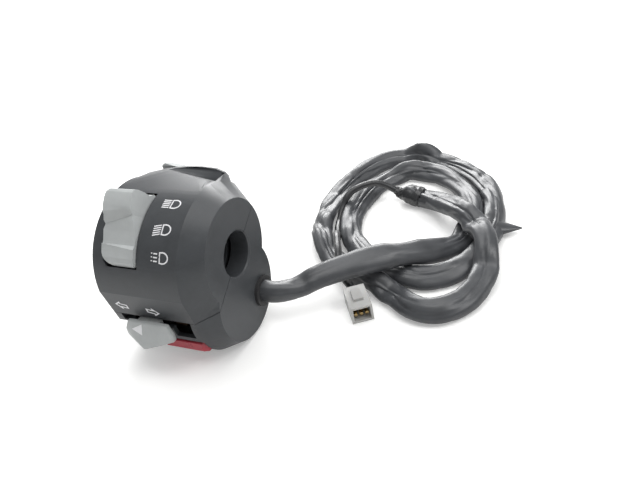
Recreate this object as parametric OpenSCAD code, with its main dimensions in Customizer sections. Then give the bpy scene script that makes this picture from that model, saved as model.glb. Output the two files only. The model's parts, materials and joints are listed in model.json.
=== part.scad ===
// Left-hand handlebar switch cluster: lamp rocker, turn-signal slider, horn button and passing trigger
// in a two-part case that clamps round the bar, with its sleeved loom laid in a loose coil.
// X runs along the bar, inboard positive. Y points away from the rider. Z is up. Millimetres.

/* [Handlebar] */
// Outside diameter of the handlebar tube
bar_d = 22.2; // [22:0.1:22.4]
// Diametral clearance of the clamp bore on the tube
bore_clearance = 0.1; // [0.05:0.05:0.3]

/* [Case] */
// Length of the case from the origin to its inboard end
reach_in = 29; // [28.5:0.25:30]
// Length of the case from the origin to its outboard end
reach_out = 30.3; // [30:0.1:31.5]
// Length of the taper at the inboard end
end_taper = 11; // [8:0.5:12]
// Radius of the rider face
face_r = 36.5; // [36:0.25:38]
// Rider face centre behind the bar axis
face_y = 2; // [1:0.25:3]
// Rider face centre above the bar axis
face_z = -4; // [-5:0.25:-3]
// Rear wall behind the bar axis
rear_y = 28; // [27:0.25:29]
// Height of the lip under the turn slot
lip_z = -25; // [-26:0.25:-24.5]
// Inset of that lip from the front of the lower body
lip_inset = 1.2; // [0.8:0.1:1.6]
// Radius of the inboard end face round the bar
end_r = 25.5; // [24:0.25:27]
// Inboard end face centre behind the bar axis
end_y = -1; // [-2:0.25:0]
// Inboard end face centre above the bar axis
end_z = 2; // [1:0.25:3]
// Radius of the lower body
low_r = 30; // [29.5:0.25:31]
// Radius of the lower body at its inboard end face
low_end_r = 24.5; // [23.5:0.25:26]
// Radius of the lower body at its outboard end
low_tip_r = 24; // [22:0.25:26]
// Length of the lower body's outboard taper
low_tip_len = 11; // [9:0.5:12]
// Lower body centre behind the bar axis
low_y = -1; // [-1.5:0.25:-0.5]
// Lower body centre above the bar axis
low_z = -22; // [-22.5:0.25:-21.5]
// Height of the flat base
base_z = -47.5; // [-48.5:0.25:-47]
// Wall thickness of both case halves
wall = 2.4; // [2:0.1:2.8]
// Thickness of the end walls
end_wall = 3; // [2.5:0.25:3.5]
// Drop of the crest over the trigger below the top of the rider face's circle
crest_drop = 0; // [0:0.1:1.5]
// Crest behind the bar axis
crest_y = 24; // [23.5:0.25:24.5]
// Slope of the step's floor in front of the crest, down towards the inboard end
step_slope = 10; // [8:0.5:12]
// Small bevel round the outboard end
end_bevel = 1.2; // [0.6:0.1:2]
// Slope of the parting plane, rising away from the rider
split_angle = 32; // [30:0.5:34]
// Gap between the two halves at the parting plane
split_gap = 0.3; // [0.2:0.05:0.5]
// Chamfer at the mouth of the bar bore
bore_chamfer = 0.7; // [0.4:0.1:1]

/* [Clamp screws] */
// Nominal diameter of the clamp screws
clamp_screw_d = 5; // [4:0.5:5]
// Head diameter of the clamp screws
clamp_head_d = 8.5; // [8:0.25:9]
// Head height of the clamp screws
clamp_head_h = 4; // [3:0.25:4.5]
// Distance of each clamp screw from the bar axis
clamp_offset = 17.5; // [17.5:0.25:18]
// Place of the clamp screws along the bar
clamp_x = 12; // [11.5:0.25:12.5]
// Depth of the front screw's head seat below the parting plane
front_seat = 12; // [11:0.5:13]
// Depth of the rear screw's head seat below the parting plane
rear_seat = 9; // [8:0.5:10]
// Engagement of each clamp screw in its insert
clamp_grip = 10; // [8:0.5:11]
// Radius of the bosses round the clamp screws
boss_r = 4.6; // [4.4:0.1:5]
// Outer radius of the saddle ring round the bar
saddle_r = 15; // [14.5:0.25:15.5]
// Width of the saddle ring along the bar
saddle_w = 8; // [7:0.5:9]

/* [Light switch] */
// Angle of the light switch on the rider face, from straight back
light_angle = 127; // [125:0.5:129]
// Middle of the light switch along the bar
light_x = -13.4; // [-13.8:0.1:-13]
// Width of the light knob
light_w = 18.2; // [17.4:0.1:18.8]
// Depth of the knob's pivot below the rider face
light_depth = 11.5; // [11:0.25:12]
// Radius of the knob's skirt about its pivot
light_skirt_r = 18.8; // [18.4:0.1:19.2]
// Rise of the knob's upper pad over the rider face
light_pad_rise = 7.9; // [7.5:0.1:9]
// Rise of the knob's waist over the rider face
light_waist_rise = 2.2; // [1.8:0.1:2.8]
// Rise of the knob's lower lug over the rider face's highest line there
light_lug_rise = -0.4; // [-0.6:0.1:0]
// Lean of the knob's inboard side
light_draft = 15; // [10:1:18]
// Diameter of the light knob's pivot pin
light_pin_d = 3; // [2.5:0.25:3]
// Depth of the contact board's face below the rider face
light_board_depth = 19; // [18.8:0.05:19.1]

/* [Turn switch] */
// Middle of the turn slider along the bar
turn_x = -8; // [-8.5:0.25:-7.5]
// Travel of the turn slider to each side
turn_travel = 5; // [4:0.5:5]
// Height of the slider's neck
turn_z = -22; // [-22.2:0.1:-21.8]
// Width of the turn knob
turn_w = 27; // [25.5:0.5:28]
// Height of the turn knob
turn_h = 11; // [10:0.5:12]
// How far the turn knob stands out in front of the lower body
turn_stand = 10.5; // [9:0.5:12]
// Push of the turn knob that cancels it
turn_push = 2; // [1.5:0.25:2]
// Length of the carriage
turn_carriage_len = 15; // [14:0.5:15.5]

/* [Horn] */
// Middle of the horn button along the bar
horn_x = 5.5; // [5:0.25:6]
// Width of the horn button
horn_w = 24; // [22:0.5:24.5]
// Height of the horn button
horn_h = 7.5; // [7:0.25:8]
// Height of the horn button's middle
horn_z = -36.5; // [-36.75:0.25:-36]
// Set-back of the horn button's face from the front of the lower body
horn_set = 1.5; // [1:0.25:2]
// Travel of the horn button
horn_travel = 2.5; // [2:0.25:2.5]

/* [Passing trigger] */
// Middle of the passing trigger along the bar
pass_x = -17; // [-17.25:0.25:-16.5]
// Width of the passing trigger
pass_w = 16; // [14:0.5:16]
// Inset of the trigger's pivot from the rear wall
pass_inset = 8; // [7.5:0.25:8.5]
// Depth of the trigger's pivot below the crown
pass_depth = 6.5; // [6:0.25:7]
// How far the trigger pad stands out behind the rear wall
pass_stand = 5.5; // [5:0.25:6.5]
// Thickness of the trigger pad
pass_pad = 2.5; // [2:0.1:2.6]
// Drop of the trigger pad's top below the crest
pass_drop = 3.1; // [2.5:0.1:3.5]
// Fall of the trigger pad's top towards its inboard side
pass_fall = 2.3; // [1.5:0.1:3]
// Foot of the trigger pad
pass_foot = 6; // [5:0.5:9]
// Diameter of the trigger's pivot pin
pass_pin_d = 2.5; // [2:0.25:2.5]

/* [Loom] */
// Diameter of the loom sleeve
loom_d = 11; // [10:0.25:11.25]
// Loom outlet behind the bar axis
loom_y = 11.5; // [11:0.25:12]
// Loom outlet above the bar axis
loom_z = -31; // [-31.5:0.25:-30.5]
// Wall of the rubber grommet in the outlet
grommet_wall = 1.2; // [1:0.1:1.4]
// Width of the grommet's flanges
grommet_flange = 1.6; // [1.2:0.1:2]
// Diameter of the taped tail between the sleeve and the connector
tail_d = 4; // [3:0.25:4.5]

/* [Connector] */
// Width of the connector housing
plug_w = 11; // [10.5:0.25:12]
// Length of the connector housing
plug_len = 18; // [17:0.5:19]
// Height of the connector housing
plug_h = 9.5; // [9:0.25:10]
// Pitch of the connector's terminals
plug_pitch = 2.9; // [2.7:0.1:3]

/* [Fits] */
// Radial clearance of a pivot in its bore
pivot_clearance = 0.05; // [0.02:0.01:0.08]
// Radial clearance of a pressed pin or rivet in its hole
press_clearance = 0.02; // [0.01:0.01:0.04]
// Clearance of sliding and swinging pieces
slide_clearance = 0.35; // [0.3:0.05:0.4]
// Clearance round the light knob's skirt in its window
window_clearance = 0.8; // [0.7:0.05:0.9]

/* [Hidden] */

x_in = reach_in;
x_out = -reach_out;
x_band = x_in - end_taper;
bore_r = (bar_d + bore_clearance) / 2;
thin = 0.01;
big = 200;
lip_y = low_y - low_r + lip_inset;
crest_z = face_z + face_r - crest_drop;
light_pivot = face_r - light_depth;
light_pad = face_r + light_pad_rise;
light_waist = face_r + light_waist_rise;
light_lug = face_r + light_lug_rise;
light_board = face_r - light_board_depth;
turn_reach = low_r - low_y + turn_stand;
horn_reach = low_r - low_y - horn_set;
pass_y = rear_y - pass_inset;
pass_z = face_z + sqrt(pow(face_r - pass_depth, 2) - pow(pass_y - face_y, 2));
pass_reach = rear_y + pass_stand;
pass_top = crest_z - pass_drop;
loom_r = loom_d / 2;
flange_r = loom_r + grommet_wall + 1.2;
table_loom_z = base_z + loom_r;

// Points of an arc in the Y-Z plane
function arc(cy, cz, r, a0, a1, n) =
  [for (i = [0 : n]) let (a = a0 + (a1 - a0) * i / n) [cy + r * cos(a), cz + r * sin(a)]];

// Smooth step from 0 at a to 1 at b
function ease(t, a, b) = let (u = min(1, max(0, (t - a) / (b - a)))) u * u * (3 - 2 * u);

function unit(v) = v / norm(v);

// Direction of a line of points at one of them
function heading(p, i) = unit(p[min(i + 1, len(p) - 1)] - p[max(i - 1, 0)]);

// Side direction at a point of a line, carried along it from its first point without twist
function side_at(p, i) =
  i == 0 ? unit(cross(heading(p, 0), [0, 0, 1]))
  : let (s = side_at(p, i - 1), h = heading(p, i)) unit(s - (s * h) * h);

// A round tube swept along points, the first two of them not one above the other
module tube(p, r, sides) {
  n = len(p);
  rings = [for (i = [0 : n - 1])
    let (s = side_at(p, i), u = cross(s, heading(p, i)))
      for (k = [0 : sides - 1]) p[i] + r * (cos(360 * k / sides) * s + sin(360 * k / sides) * u)];
  walls = [for (i = [0 : n - 2]) for (k = [0 : sides - 1])
    let (a = i * sides + k, b = i * sides + (k + 1) % sides)
      each [[a, b, a + sides], [b, b + sides, a + sides]]];
  first = [for (k = [1 : sides - 2]) [0, k + 1, k]];
  last = (n - 1) * sides;
  end = [for (k = [1 : sides - 2]) [last, last + k, last + k + 1]];
  polyhedron(points = rings, faces = concat(walls, first, end));
}

// A coil spring along Z from 0, with its wire centred on radius r
module spring(r, wire_d, height, turns) {
  steps = turns * 8;
  p = [for (i = [0 : steps])
    let (a = 360 * turns * i / steps)
      [r * cos(a), r * sin(a), wire_d / 2 + (height - wire_d) * i / steps]];
  tube(p, wire_d / 2, 6);
}

// A straight run along X of a Y-Z outline
module slab(x, t) {
  translate([x, 0, 0])
    rotate([90, 0, 90])
      linear_extrude(t)
        children();
}

// A block from its low to its high corner
module block(low, high) {
  translate(low)
    cube(high - low);
}

// A cylinder along X
module rod_x(x0, x1, r, y = 0, z = 0) {
  translate([x0, y, z])
    rotate([0, 90, 0])
      cylinder(h = x1 - x0, r = r, $fn = 64);
}

// A cylinder along Y
module rod_y(y0, y1, r, x = 0, z = 0) {
  translate([x, y0, z])
    rotate([-90, 0, 0])
      cylinder(h = y1 - y0, r = r, $fn = 48);
}

// A cylinder along Z
module rod_z(z0, z1, r, x = 0, y = 0) {
  translate([x, y, z0])
    cylinder(h = z1 - z0, r = r, $fn = 48);
}

// Frame of the light switch: Z outward from the rider face, Y up along it
module on_light() {
  translate([0, face_y, face_z])
    rotate([light_angle - 90, 0, 0])
      children();
}

// Frame of the parting plane: Y along its slope, Z square to it
module on_split() {
  rotate([split_angle, 0, 0])
    children();
}

// Outline of the round upper body, drawn in by i
function round_outline(i) = concat(
  arc(face_y, face_z, face_r - i, acos((rear_y - face_y - i) / (face_r - i)), 180, 32),
  [[lip_y + i, lip_z + i], [rear_y - i, lip_z + i]]);

// Upper body, drawn in by i all round and by e at the ends
module round_body(i, e) {
  hull() {
    slab(x_out + e, thin)
      polygon(round_outline(i + end_bevel));
    slab(x_out + e + end_bevel, thin)
      polygon(round_outline(i));
    slab(x_band, thin)
      polygon(round_outline(i));
    slab(x_in - e - thin, thin)
      translate([end_y, end_z])
        circle(end_r - i, $fn = 64);
  }
}

// Crest line along the bar: places and drops below its top
crest_line = [[-28, 4.6], [-17, 2], [-6, 0.4], [4, 0], [12, 0.6], [16, 2.4]];

// Crest over the trigger: a low ridge that runs into the rider face and the rear wall
module crest() {
  hull() {
    for (c = crest_line)
      slab(c[0], thin)
        polygon(concat(
          [[rear_y, 12], [rear_y, crest_z - 4 - c[1]], [crest_y + 2, crest_z - 0.9 - c[1]],
           [crest_y, crest_z - c[1]], [crest_y - 3, crest_z - 0.4 - c[1]]],
          arc(face_y, face_z, face_r, 75, 105, 6)));
    slab(x_band + 5, thin)
      polygon([[20, 8], [20, 18], [8, 26], [0, 26]]);
  }
}

// Step in front of the crest, deepest at its inboard end, where its floor meets the rider face
module crest_step() {
  step_y = crest_y - 3;
  intersection() {
    translate([x_band - 6, step_y, face_z + sqrt(pow(face_r, 2) - pow(step_y - face_y, 2))])
      rotate([-asin((step_y - face_y) / face_r), step_slope, 0])
        block([-60, -40, 0], [4.5, 40, 30]);
    block([-big, -big, 0], [big, step_y, big]);
  }
}

// Lower body with its flat base, drawn in by i all round and by e at the ends
module low_body(i, e) {
  intersection() {
    translate([0, low_y, low_z])
      rotate([0, 90, 0])
        rotate_extrude($fn = 96)
          polygon([
            [0, x_out + e], [low_tip_r - i, x_out + e], [low_r - i, x_out + low_tip_len],
            [low_r - i, x_band], [low_end_r - i, x_in - e], [0, x_in - e]]);
    block([x_out - 1, -big, base_z + i], [x_in + 1, big, big]);
  }
}

module case_outer() {
  round_body(0, 0);
  crest();
  low_body(0, 0);
}

module case_cavity() {
  round_body(wall, end_wall);
  low_body(wall, end_wall);
}

module above_split() {
  on_split()
    block([-big, -big, split_gap / 2], [big, big, big]);
}

module below_split() {
  on_split()
    block([-big, -big, -big], [big, big, -split_gap / 2]);
}

module bar_bore() {
  rod_x(x_out - 1, x_in + 1, bore_r);
  for (side = [0, 1])
    mirror([side, 0, 0])
      translate([(side == 0 ? x_in : -x_out) - bore_chamfer, 0, 0])
        rotate([0, 90, 0])
          cylinder(h = 2 * bore_chamfer, r1 = bore_r, r2 = bore_r + 2 * bore_chamfer, $fn = 64);
}

// Clamp screws: their places along the parting plane, and their head seats below it
clamp_places = [-clamp_offset, clamp_offset];
clamp_seats = [front_seat, rear_seat];
insert_r = clamp_screw_d / 2 + 0.9;
insert_len = clamp_grip - 1;
clamp_hole_r = clamp_screw_d / 2 + 0.25;
tunnel_r = clamp_head_d / 2 + 0.5;

module at_clamp(i) {
  on_split()
    translate([clamp_x, clamp_places[i], 0])
      children();
}

// Light switch dimensions that follow from the driving ones
light_x0 = light_x - light_w / 2;
light_x1 = light_x + light_w / 2;
light_window = light_w / 2 + 0.5;
cheek_t = 2.4;
cheek_gap = light_w / 2 + 1;
cheek_y = 9.5;
light_pin_len = 2 * (cheek_gap + cheek_t);
board_t = 1.6;
board_screw_y = 7.5;
board_screw_r = 1;

module upper_case() {
  color("#3d4043")
    difference() {
      union() {
        difference() {
          intersection() {
            case_outer();
            above_split();
          }
          case_cavity();
        }
        intersection() {
          upper_inside();
          round_body(wall / 2, end_wall / 2);
          above_split();
        }
      }
      bar_bore();
      crest_step();
      upper_openings();
    }
}

// Saddle, bosses, pivot cheeks and contact pillar inside the upper half
module upper_inside() {
  rod_x(clamp_x - saddle_w / 2, clamp_x + saddle_w / 2, saddle_r);
  for (i = [0, 1])
    at_clamp(i)
      cylinder(h = big, r = boss_r, $fn = 48);
  on_light()
    for (side = [-1, 1])
      translate([light_x + side * (cheek_gap + cheek_t / 2), 0, 0])
        block([-cheek_t / 2, -cheek_y, light_board], [cheek_t / 2, cheek_y, face_r]);
  for (side = [-1, 1])
    translate([pass_x + side * (pass_w / 2 + slide_clearance + pass_cheek / 2), 0, 0])
      block([-pass_cheek / 2, pass_y - 4, pass_z - 3.5], [pass_cheek / 2, pass_y + 4, big]);
  block(
    [pass_x - pass_block_w / 2, pass_block_y, pass_block_z + pass_block_h],
    [pass_x + pass_block_w / 2, pass_block_y + pass_block_d, big]);
}

// Windows and holes of the upper half
module upper_openings() {
  on_light() {
    intersection() {
      rod_x(light_x - light_window, light_x + light_window,
        light_skirt_r + window_clearance, 0, light_pivot);
      block([-big, -big, light_pivot + 1], [big, big, big]);
    }
    rod_x(light_x - light_pin_len / 2 - 1, light_x + light_pin_len / 2 + 1,
      light_pin_d / 2 + press_clearance, 0, light_pivot);
    for (side = [-1, 1])
      for (y = [-board_screw_y, board_screw_y])
        rod_z(light_board - 1, light_board + 5, board_screw_r + press_clearance,
          light_x + side * (cheek_gap + cheek_t / 2), y);
  }
  for (i = [0, 1])
    at_clamp(i) {
      translate([0, 0, -1])
        cylinder(h = insert_len + 2, r = insert_r + press_clearance, $fn = 48);
      translate([0, 0, -1])
        cylinder(h = clamp_grip + 3, r = clamp_hole_r, $fn = 48);
    }
  rod_x(pass_x - pass_pin_len / 2 - 0.5, pass_x + pass_pin_len / 2 + 0.5,
    pass_pin_d / 2 + press_clearance, pass_y, pass_z);
  block(
    [pass_x - pass_w / 2 - slide_clearance, pass_y + 2, -big],
    [pass_x + pass_w / 2 + slide_clearance, big, pass_z + pass_neck / 2 + 2]);
}

module lower_case() {
  color("#36393c")
    difference() {
      union() {
        difference() {
          intersection() {
            case_outer();
            below_split();
          }
          case_cavity();
        }
        intersection() {
          lower_inside();
          union() {
            round_body(wall / 2, end_wall / 2);
            low_body(wall / 2, end_wall / 2);
          }
          below_split();
        }
      }
      bar_bore();
      lower_openings();
    }
}

// Saddle, screw tunnels, guide pillars and board ribs inside the lower half
module lower_inside() {
  rod_x(clamp_x - saddle_w / 2, clamp_x + saddle_w / 2, saddle_r);
  for (i = [0, 1])
    at_clamp(i) {
      translate([0, 0, -clamp_seats[i]])
        cylinder(h = clamp_seats[i], r = boss_r, $fn = 48);
      translate([0, 0, -big])
        cylinder(h = big - clamp_seats[i] + wall, r = tunnel_r + 1.6, $fn = 48);
    }
  for (x = guide_ears)
    rod_z(base_z, guide_low - guide_t, 3, x, guide_ear_y);
  block(
    [horn_x - horn_w / 2 - slide_clearance - 2.4, -big, horn_z - horn_h / 2],
    [horn_x - horn_w / 2 - slide_clearance, horn_stem_y - slide_clearance, horn_z + horn_h / 2 + 2.4]);
  block(
    [horn_x - horn_w / 2 - slide_clearance - 2.4, -big, horn_z + horn_h / 2 + slide_clearance],
    [horn_x + horn_w / 2 - 2, horn_stem_y - slide_clearance, horn_z + horn_h / 2 + 2.4]);
  for (y = [horn_board_y - rib_t - press_clearance, horn_board_y + board_t + press_clearance])
    block(
      [horn_x - horn_board_w / 2, y, base_z],
      [horn_x + horn_board_w / 2, y + rib_t, base_z + wall + 4]);
}

// Windows and holes of the lower half
module lower_openings() {
  for (i = [0, 1])
    at_clamp(i) {
      translate([0, 0, -clamp_seats[i] - 1])
        cylinder(h = clamp_seats[i] + 2, r = clamp_hole_r, $fn = 48);
      translate([0, 0, -big])
        cylinder(h = big - clamp_seats[i], r = tunnel_r, $fn = 48);
    }
  block(
    [turn_x - turn_slot - 4, -big, turn_z - turn_neck / 2 - slide_clearance],
    [turn_x + turn_slot + 10, lip_y + 6, turn_z + 12]);
  block(
    [turn_x + turn_w / 2 - 1.5, -big, turn_z - 7.5],
    [turn_x + turn_slot + 10, lip_y + 6, turn_z]);
  block(
    [horn_x - horn_w / 2 - slide_clearance, -big, horn_z - horn_h / 2 - slide_clearance],
    [horn_x + horn_w / 2 + slide_clearance, horn_stem_y - 1.5, horn_z + horn_h / 2 + slide_clearance]);
  for (x = guide_ears)
    rod_z(guide_low - guide_t - 8, guide_low, guide_screw_r + press_clearance, x, guide_ear_y);
  rod_x(x_in - end_wall - 2, x_in + 1, loom_r + grommet_wall + press_clearance, loom_y, loom_z);
  rod_x(x_in - end_wall - 8, x_in - end_wall, flange_r + slide_clearance, loom_y, loom_z);
  block(
    [pass_x - pass_w / 2 - slide_clearance, pass_y + 4.2, pass_z - pass_neck],
    [pass_x + pass_w / 2 + slide_clearance, big, big]);
}

module clamp_screws() {
  color("#b9bcc0")
    for (i = [0, 1])
      at_clamp(i)
        translate([0, 0, -clamp_seats[i]])
          difference() {
            union() {
              cylinder(h = clamp_seats[i] + clamp_grip, d = clamp_screw_d, $fn = 48);
              translate([0, 0, -clamp_head_h])
                cylinder(h = clamp_head_h, d = clamp_head_d, $fn = 48);
            }
            translate([0, 0, -clamp_head_h - 1])
              for (turn = [0, 90])
                rotate([0, 0, turn])
                  block(
                    [-clamp_head_d * 0.3, -0.6, 0],
                    [clamp_head_d * 0.3, 0.6, clamp_head_h * 0.6 + 1]);
          }
}

module clamp_inserts() {
  color("#c8a45a")
    for (i = [0, 1])
      at_clamp(i)
        translate([0, 0, 1])
          difference() {
            cylinder(h = insert_len, r = insert_r, $fn = 48);
            translate([0, 0, -1])
              cylinder(h = insert_len + 2, r = clamp_screw_d / 2 + press_clearance, $fn = 48);
          }
}

// Side view of the light knob, Y up the rider face and Z outward
skirt_z = light_pivot + 6;
skirt_end = asin((skirt_z - light_pivot) / light_skirt_r);
knob_outline = concat(
  arc(0, light_pivot, light_skirt_r, skirt_end, 32, 4),
  [[16.3, light_pad - 6.4], [16.2, light_pad - 3], [15.3, light_pad - 0.8], [13.6, light_pad],
   [10.8, light_pad], [7.2, light_pad - 0.6], [5.2, light_pad - 1.6], [3.2, light_waist + 2.7],
   [1, light_waist + 1.7], [-3, light_waist], [-7.2, light_lug + 0.9], [-9, light_lug + 0.5],
   [-12.5, light_lug], [-15, light_lug - 0.7], [-16.8, light_lug - 1.8], [-17.5, light_lug - 3.2]],
  arc(0, light_pivot, light_skirt_r, 157, 180 - skirt_end, 4));

// Front view of the light knob, with large rounded corners on its outboard side
module knob_front() {
  hull()
    for (c = [[light_x0 + 6, 11.6, 6], [light_x1 - 1.5, 16.1, 1.5],
              [light_x0 + 6.5, -11.4, 6.5], [light_x1 - 2, -15.9, 2]])
      translate([c[0], c[1]])
        circle(c[2], $fn = 48);
}

module light_knob() {
  color("#a7acac")
    on_light()
      difference() {
        union() {
          difference() {
            intersection() {
              slab(light_x0, light_w)
                polygon(knob_outline);
              linear_extrude(big)
                knob_front();
            }
            translate([light_x1 - 0.3, 12, face_r - 2.5])
              rotate([0, -light_draft, 3.4])
                block([0, -big, -big], [big, big, big]);
          }
          rod_x(light_x0, light_x1, light_hub_r, 0, light_pivot);
          block([light_x0, -3.2, light_pivot], [light_x1, 3.2, skirt_z + 1]);
          rod_z(light_board + 2, light_pivot, 2.7, light_x, 0);
          block([light_x0 + 1, -2.5, light_foot], [light_x0 + 5, 2.5, light_pivot]);
        }
        rod_x(light_x0 - 1, light_x1 + 1, light_pin_d / 2 + pivot_clearance, 0, light_pivot);
        rod_z(0, light_detent_top, light_ball_r + 0.1, light_x, 0);
      }
}

light_hub_r = 4;
light_foot = light_board + 2.1;
light_ball_r = 1.5;
light_ball_z = light_board + 0.35 + light_ball_r;
light_detent_top = light_pivot - light_pin_d / 2 - 0.4;

module light_pivot_pin() {
  color("#c3c6c9")
    on_light()
      rod_x(light_x - light_pin_len / 2, light_x + light_pin_len / 2, light_pin_d / 2, 0, light_pivot);
}

module light_contact() {
  color("#c07a45")
    on_light() {
      block([light_x0 + 1.5, -2.4, light_foot - 0.6], [light_x0 + 4.5, 2.4, light_foot]);
      intersection() {
        rod_x(light_x0 + 1.5, light_x0 + 4.5, 1.1, 0, light_foot - 0.35);
        block([-big, -big, 0], [big, big, light_foot - 0.3]);
      }
    }
}

module light_board() {
  color("#7a5a36")
    on_light()
      difference() {
        block(
          [light_x - light_pin_len / 2, -cheek_y, light_board - board_t],
          [light_x + light_pin_len / 2, cheek_y, light_board]);
        for (side = [-1, 1])
          for (y = [-board_screw_y, board_screw_y])
            rod_z(0, big, board_screw_r + press_clearance,
              light_x + side * (cheek_gap + cheek_t / 2), y);
        for (y = light_rivet_ys)
          rod_z(0, big, rivet_r + press_clearance, light_x0 + 3, y);
      }
}

rivet_r = 0.8;
rivet_head_r = 1.3;
rivet_head_h = 0.3;
light_rivet_ys = [-3.2, 0, 3.2];

// A contact rivet along Z, its head on the face at z and its tail through a board
module rivet(x, y, z) {
  rod_z(z, z + rivet_head_h, rivet_head_r, x, y);
  rod_z(z - board_t - 0.2, z, rivet_r, x, y);
}

module light_rivets() {
  color("#cfa85e")
    on_light()
      for (y = light_rivet_ys)
        rivet(light_x0 + 3, y, light_board);
}

module light_board_screws() {
  color("#b9bcc0")
    on_light()
      for (side = [-1, 1])
        for (y = [-board_screw_y, board_screw_y])
          translate([light_x + side * (cheek_gap + cheek_t / 2), y, light_board - board_t]) {
            rod_z(0, board_t + 4.5, board_screw_r);
            rod_z(-1.1, 0, 1.7);
          }
}

module light_detent_ball() {
  color("#d0d3d6")
    on_light()
      translate([light_x, 0, light_ball_z])
        sphere(light_ball_r, $fn = 32);
}

module light_detent_spring() {
  color("#8d9196")
    on_light()
      translate([light_x, 0, light_ball_z + light_ball_r])
        spring(1.1, 0.4, light_detent_top - light_ball_z - light_ball_r - 0.02, 3);
}

// Turn switch dimensions that follow from the driving ones
turn_neck = 3.3;
turn_neck_w = 13;
turn_slot = turn_neck_w / 2 + turn_travel + 1.6;
turn_stem_w = 7;
turn_pad_back = lip_y - 4;
carriage_front = lip_y + 2.4;
carriage_back = carriage_front + 11.9;
turn_stem_end = carriage_front + 6.9;
carriage_low = turn_z - 4.4;
carriage_high = turn_z + 4.4;
pocket_floor = carriage_back - 1.3;
guide_gap = slide_clearance;
guide_t = 1.5;
guide_low = carriage_low - guide_gap;
guide_high = carriage_high + guide_gap;
guide_front = carriage_front + 3.8;
guide_x = turn_carriage_len / 2 + turn_travel + slide_clearance;
guide_back = carriage_back + 2.5;
guide_ears = [turn_x - 9, turn_x + 9];
guide_ear_y = guide_back + 6;
guide_screw_r = 1.5;
turn_ball_r = 1.3;
turn_pocket_top = carriage_low + 4.2;
turn_pocket_y = carriage_back - 3.4;

// Front corners of the turn knob: lower tip, ridge, lower right, far right and top
turn_corners = [
  [turn_x + 0.2, 0.5 - turn_reach, turn_z - turn_h + 3.1],
  [turn_x, 3.6 - turn_reach, turn_z - 1.6],
  [turn_x + 9.5, 1.9 - turn_reach, turn_z - 5],
  [turn_x + turn_w / 2 + 0.3, 4 - turn_reach, turn_z - 3.6],
  [turn_x + 8.3, 5.4 - turn_reach, turn_z + 2.6]];

module turn_knob() {
  color("#a7acac") {
    hull() {
      block(
        [turn_x - turn_w / 2 + 4, turn_pad_back - 2, turn_z - 4],
        [turn_x + turn_w / 2 - 0.3, turn_pad_back, turn_z + 3.3]);
      block(
        [turn_x - turn_w / 2 + 1, turn_pad_back - 2, turn_z - turn_h + 5],
        [turn_x + turn_w / 2 + 1.3, turn_pad_back, turn_z - 2]);
      for (p = turn_corners)
        translate(p)
          cube(1, center = true);
    }
    block(
      [turn_x - turn_neck_w / 2, turn_pad_back - 1, turn_z - turn_neck / 2],
      [turn_x + turn_neck_w / 2, carriage_front - turn_push - slide_clearance, turn_z + turn_neck / 2]);
    block(
      [turn_x - turn_stem_w / 2, turn_pad_back - 1, turn_z - turn_neck / 2],
      [turn_x + turn_stem_w / 2, turn_stem_end, turn_z + turn_neck / 2]);
  }
}

module turn_carriage() {
  color("#2f3133")
    difference() {
      block(
        [turn_x - turn_carriage_len / 2, carriage_front, carriage_low],
        [turn_x + turn_carriage_len / 2, carriage_back, carriage_high]);
      block(
        [turn_x - turn_stem_w / 2 - slide_clearance, -big,
         turn_z - turn_neck / 2 - slide_clearance],
        [turn_x + turn_stem_w / 2 + slide_clearance, pocket_floor,
         turn_z + turn_neck / 2 + slide_clearance]);
      rod_z(carriage_low - 1, turn_pocket_top, turn_ball_r + 0.1, turn_x - 5.6, turn_pocket_y);
    }
}

module turn_guide() {
  color("#5b4a38")
    difference() {
      union() {
        for (z = [guide_low - guide_t, guide_high])
          block(
            [turn_x - guide_x - guide_t, guide_front, z],
            [turn_x + guide_x + guide_t, guide_back, z + guide_t]);
        for (x = [turn_x - guide_x - guide_t, turn_x + guide_x])
          block(
            [x, guide_front + 4, guide_low - guide_t],
            [x + guide_t, guide_back, guide_high + guide_t]);
        for (x = guide_ears)
          block(
            [x - 3.2, guide_back - 2, guide_low - guide_t],
            [x + 3.2, guide_ear_y + 3.2, guide_low]);
      }
      for (x = guide_ears)
        rod_z(guide_low - guide_t - 1, guide_low + 1, guide_screw_r + press_clearance, x, guide_ear_y);
      block([-big, guide_back, guide_low], [big, guide_back + board_t + 1, guide_high + guide_t + 1]);
    }
}

turn_rivet_xs = [turn_x - turn_travel, turn_x, turn_x + turn_travel];

module turn_board() {
  color("#7a5a36")
    difference() {
      block(
        [turn_x - guide_x - guide_t, guide_back, guide_low],
        [turn_x + guide_x + guide_t, guide_back + board_t, guide_high + guide_t]);
      for (x = turn_rivet_xs)
        rod_y(-big, 0, rivet_r + press_clearance, x, turn_z);
    }
}

module turn_rivets() {
  color("#cfa85e")
    for (x = turn_rivet_xs) {
      rod_y(guide_back - rivet_head_h, guide_back, rivet_head_r, x, turn_z);
      rod_y(guide_back, guide_back + board_t + 0.2, rivet_r, x, turn_z);
    }
}

module turn_contact() {
  color("#c07a45") {
    block([turn_x - 4, carriage_back, turn_z - 1.5], [turn_x + 4, carriage_back + 0.6, turn_z + 1.5]);
    rod_y(carriage_back + 0.3, guide_back - rivet_head_h - slide_clearance, 1.1, turn_x, turn_z);
  }
}

module turn_cancel_spring() {
  color("#8d9196")
    translate([turn_x, turn_stem_end + 0.02, turn_z])
      rotate([-90, 0, 0])
        spring(1.2, 0.4, pocket_floor - turn_stem_end - 0.04, 4);
}

module turn_detent_ball() {
  color("#d0d3d6")
    translate([turn_x - 5.6, turn_pocket_y, guide_low + 0.1 + turn_ball_r])
      sphere(turn_ball_r, $fn = 32);
}

module turn_detent_spring() {
  color("#8d9196")
    translate([turn_x - 5.6, turn_pocket_y, guide_low + 0.11 + 2 * turn_ball_r])
      spring(1, 0.4, turn_pocket_top - guide_low - 0.12 - 2 * turn_ball_r, 2);
}

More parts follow.
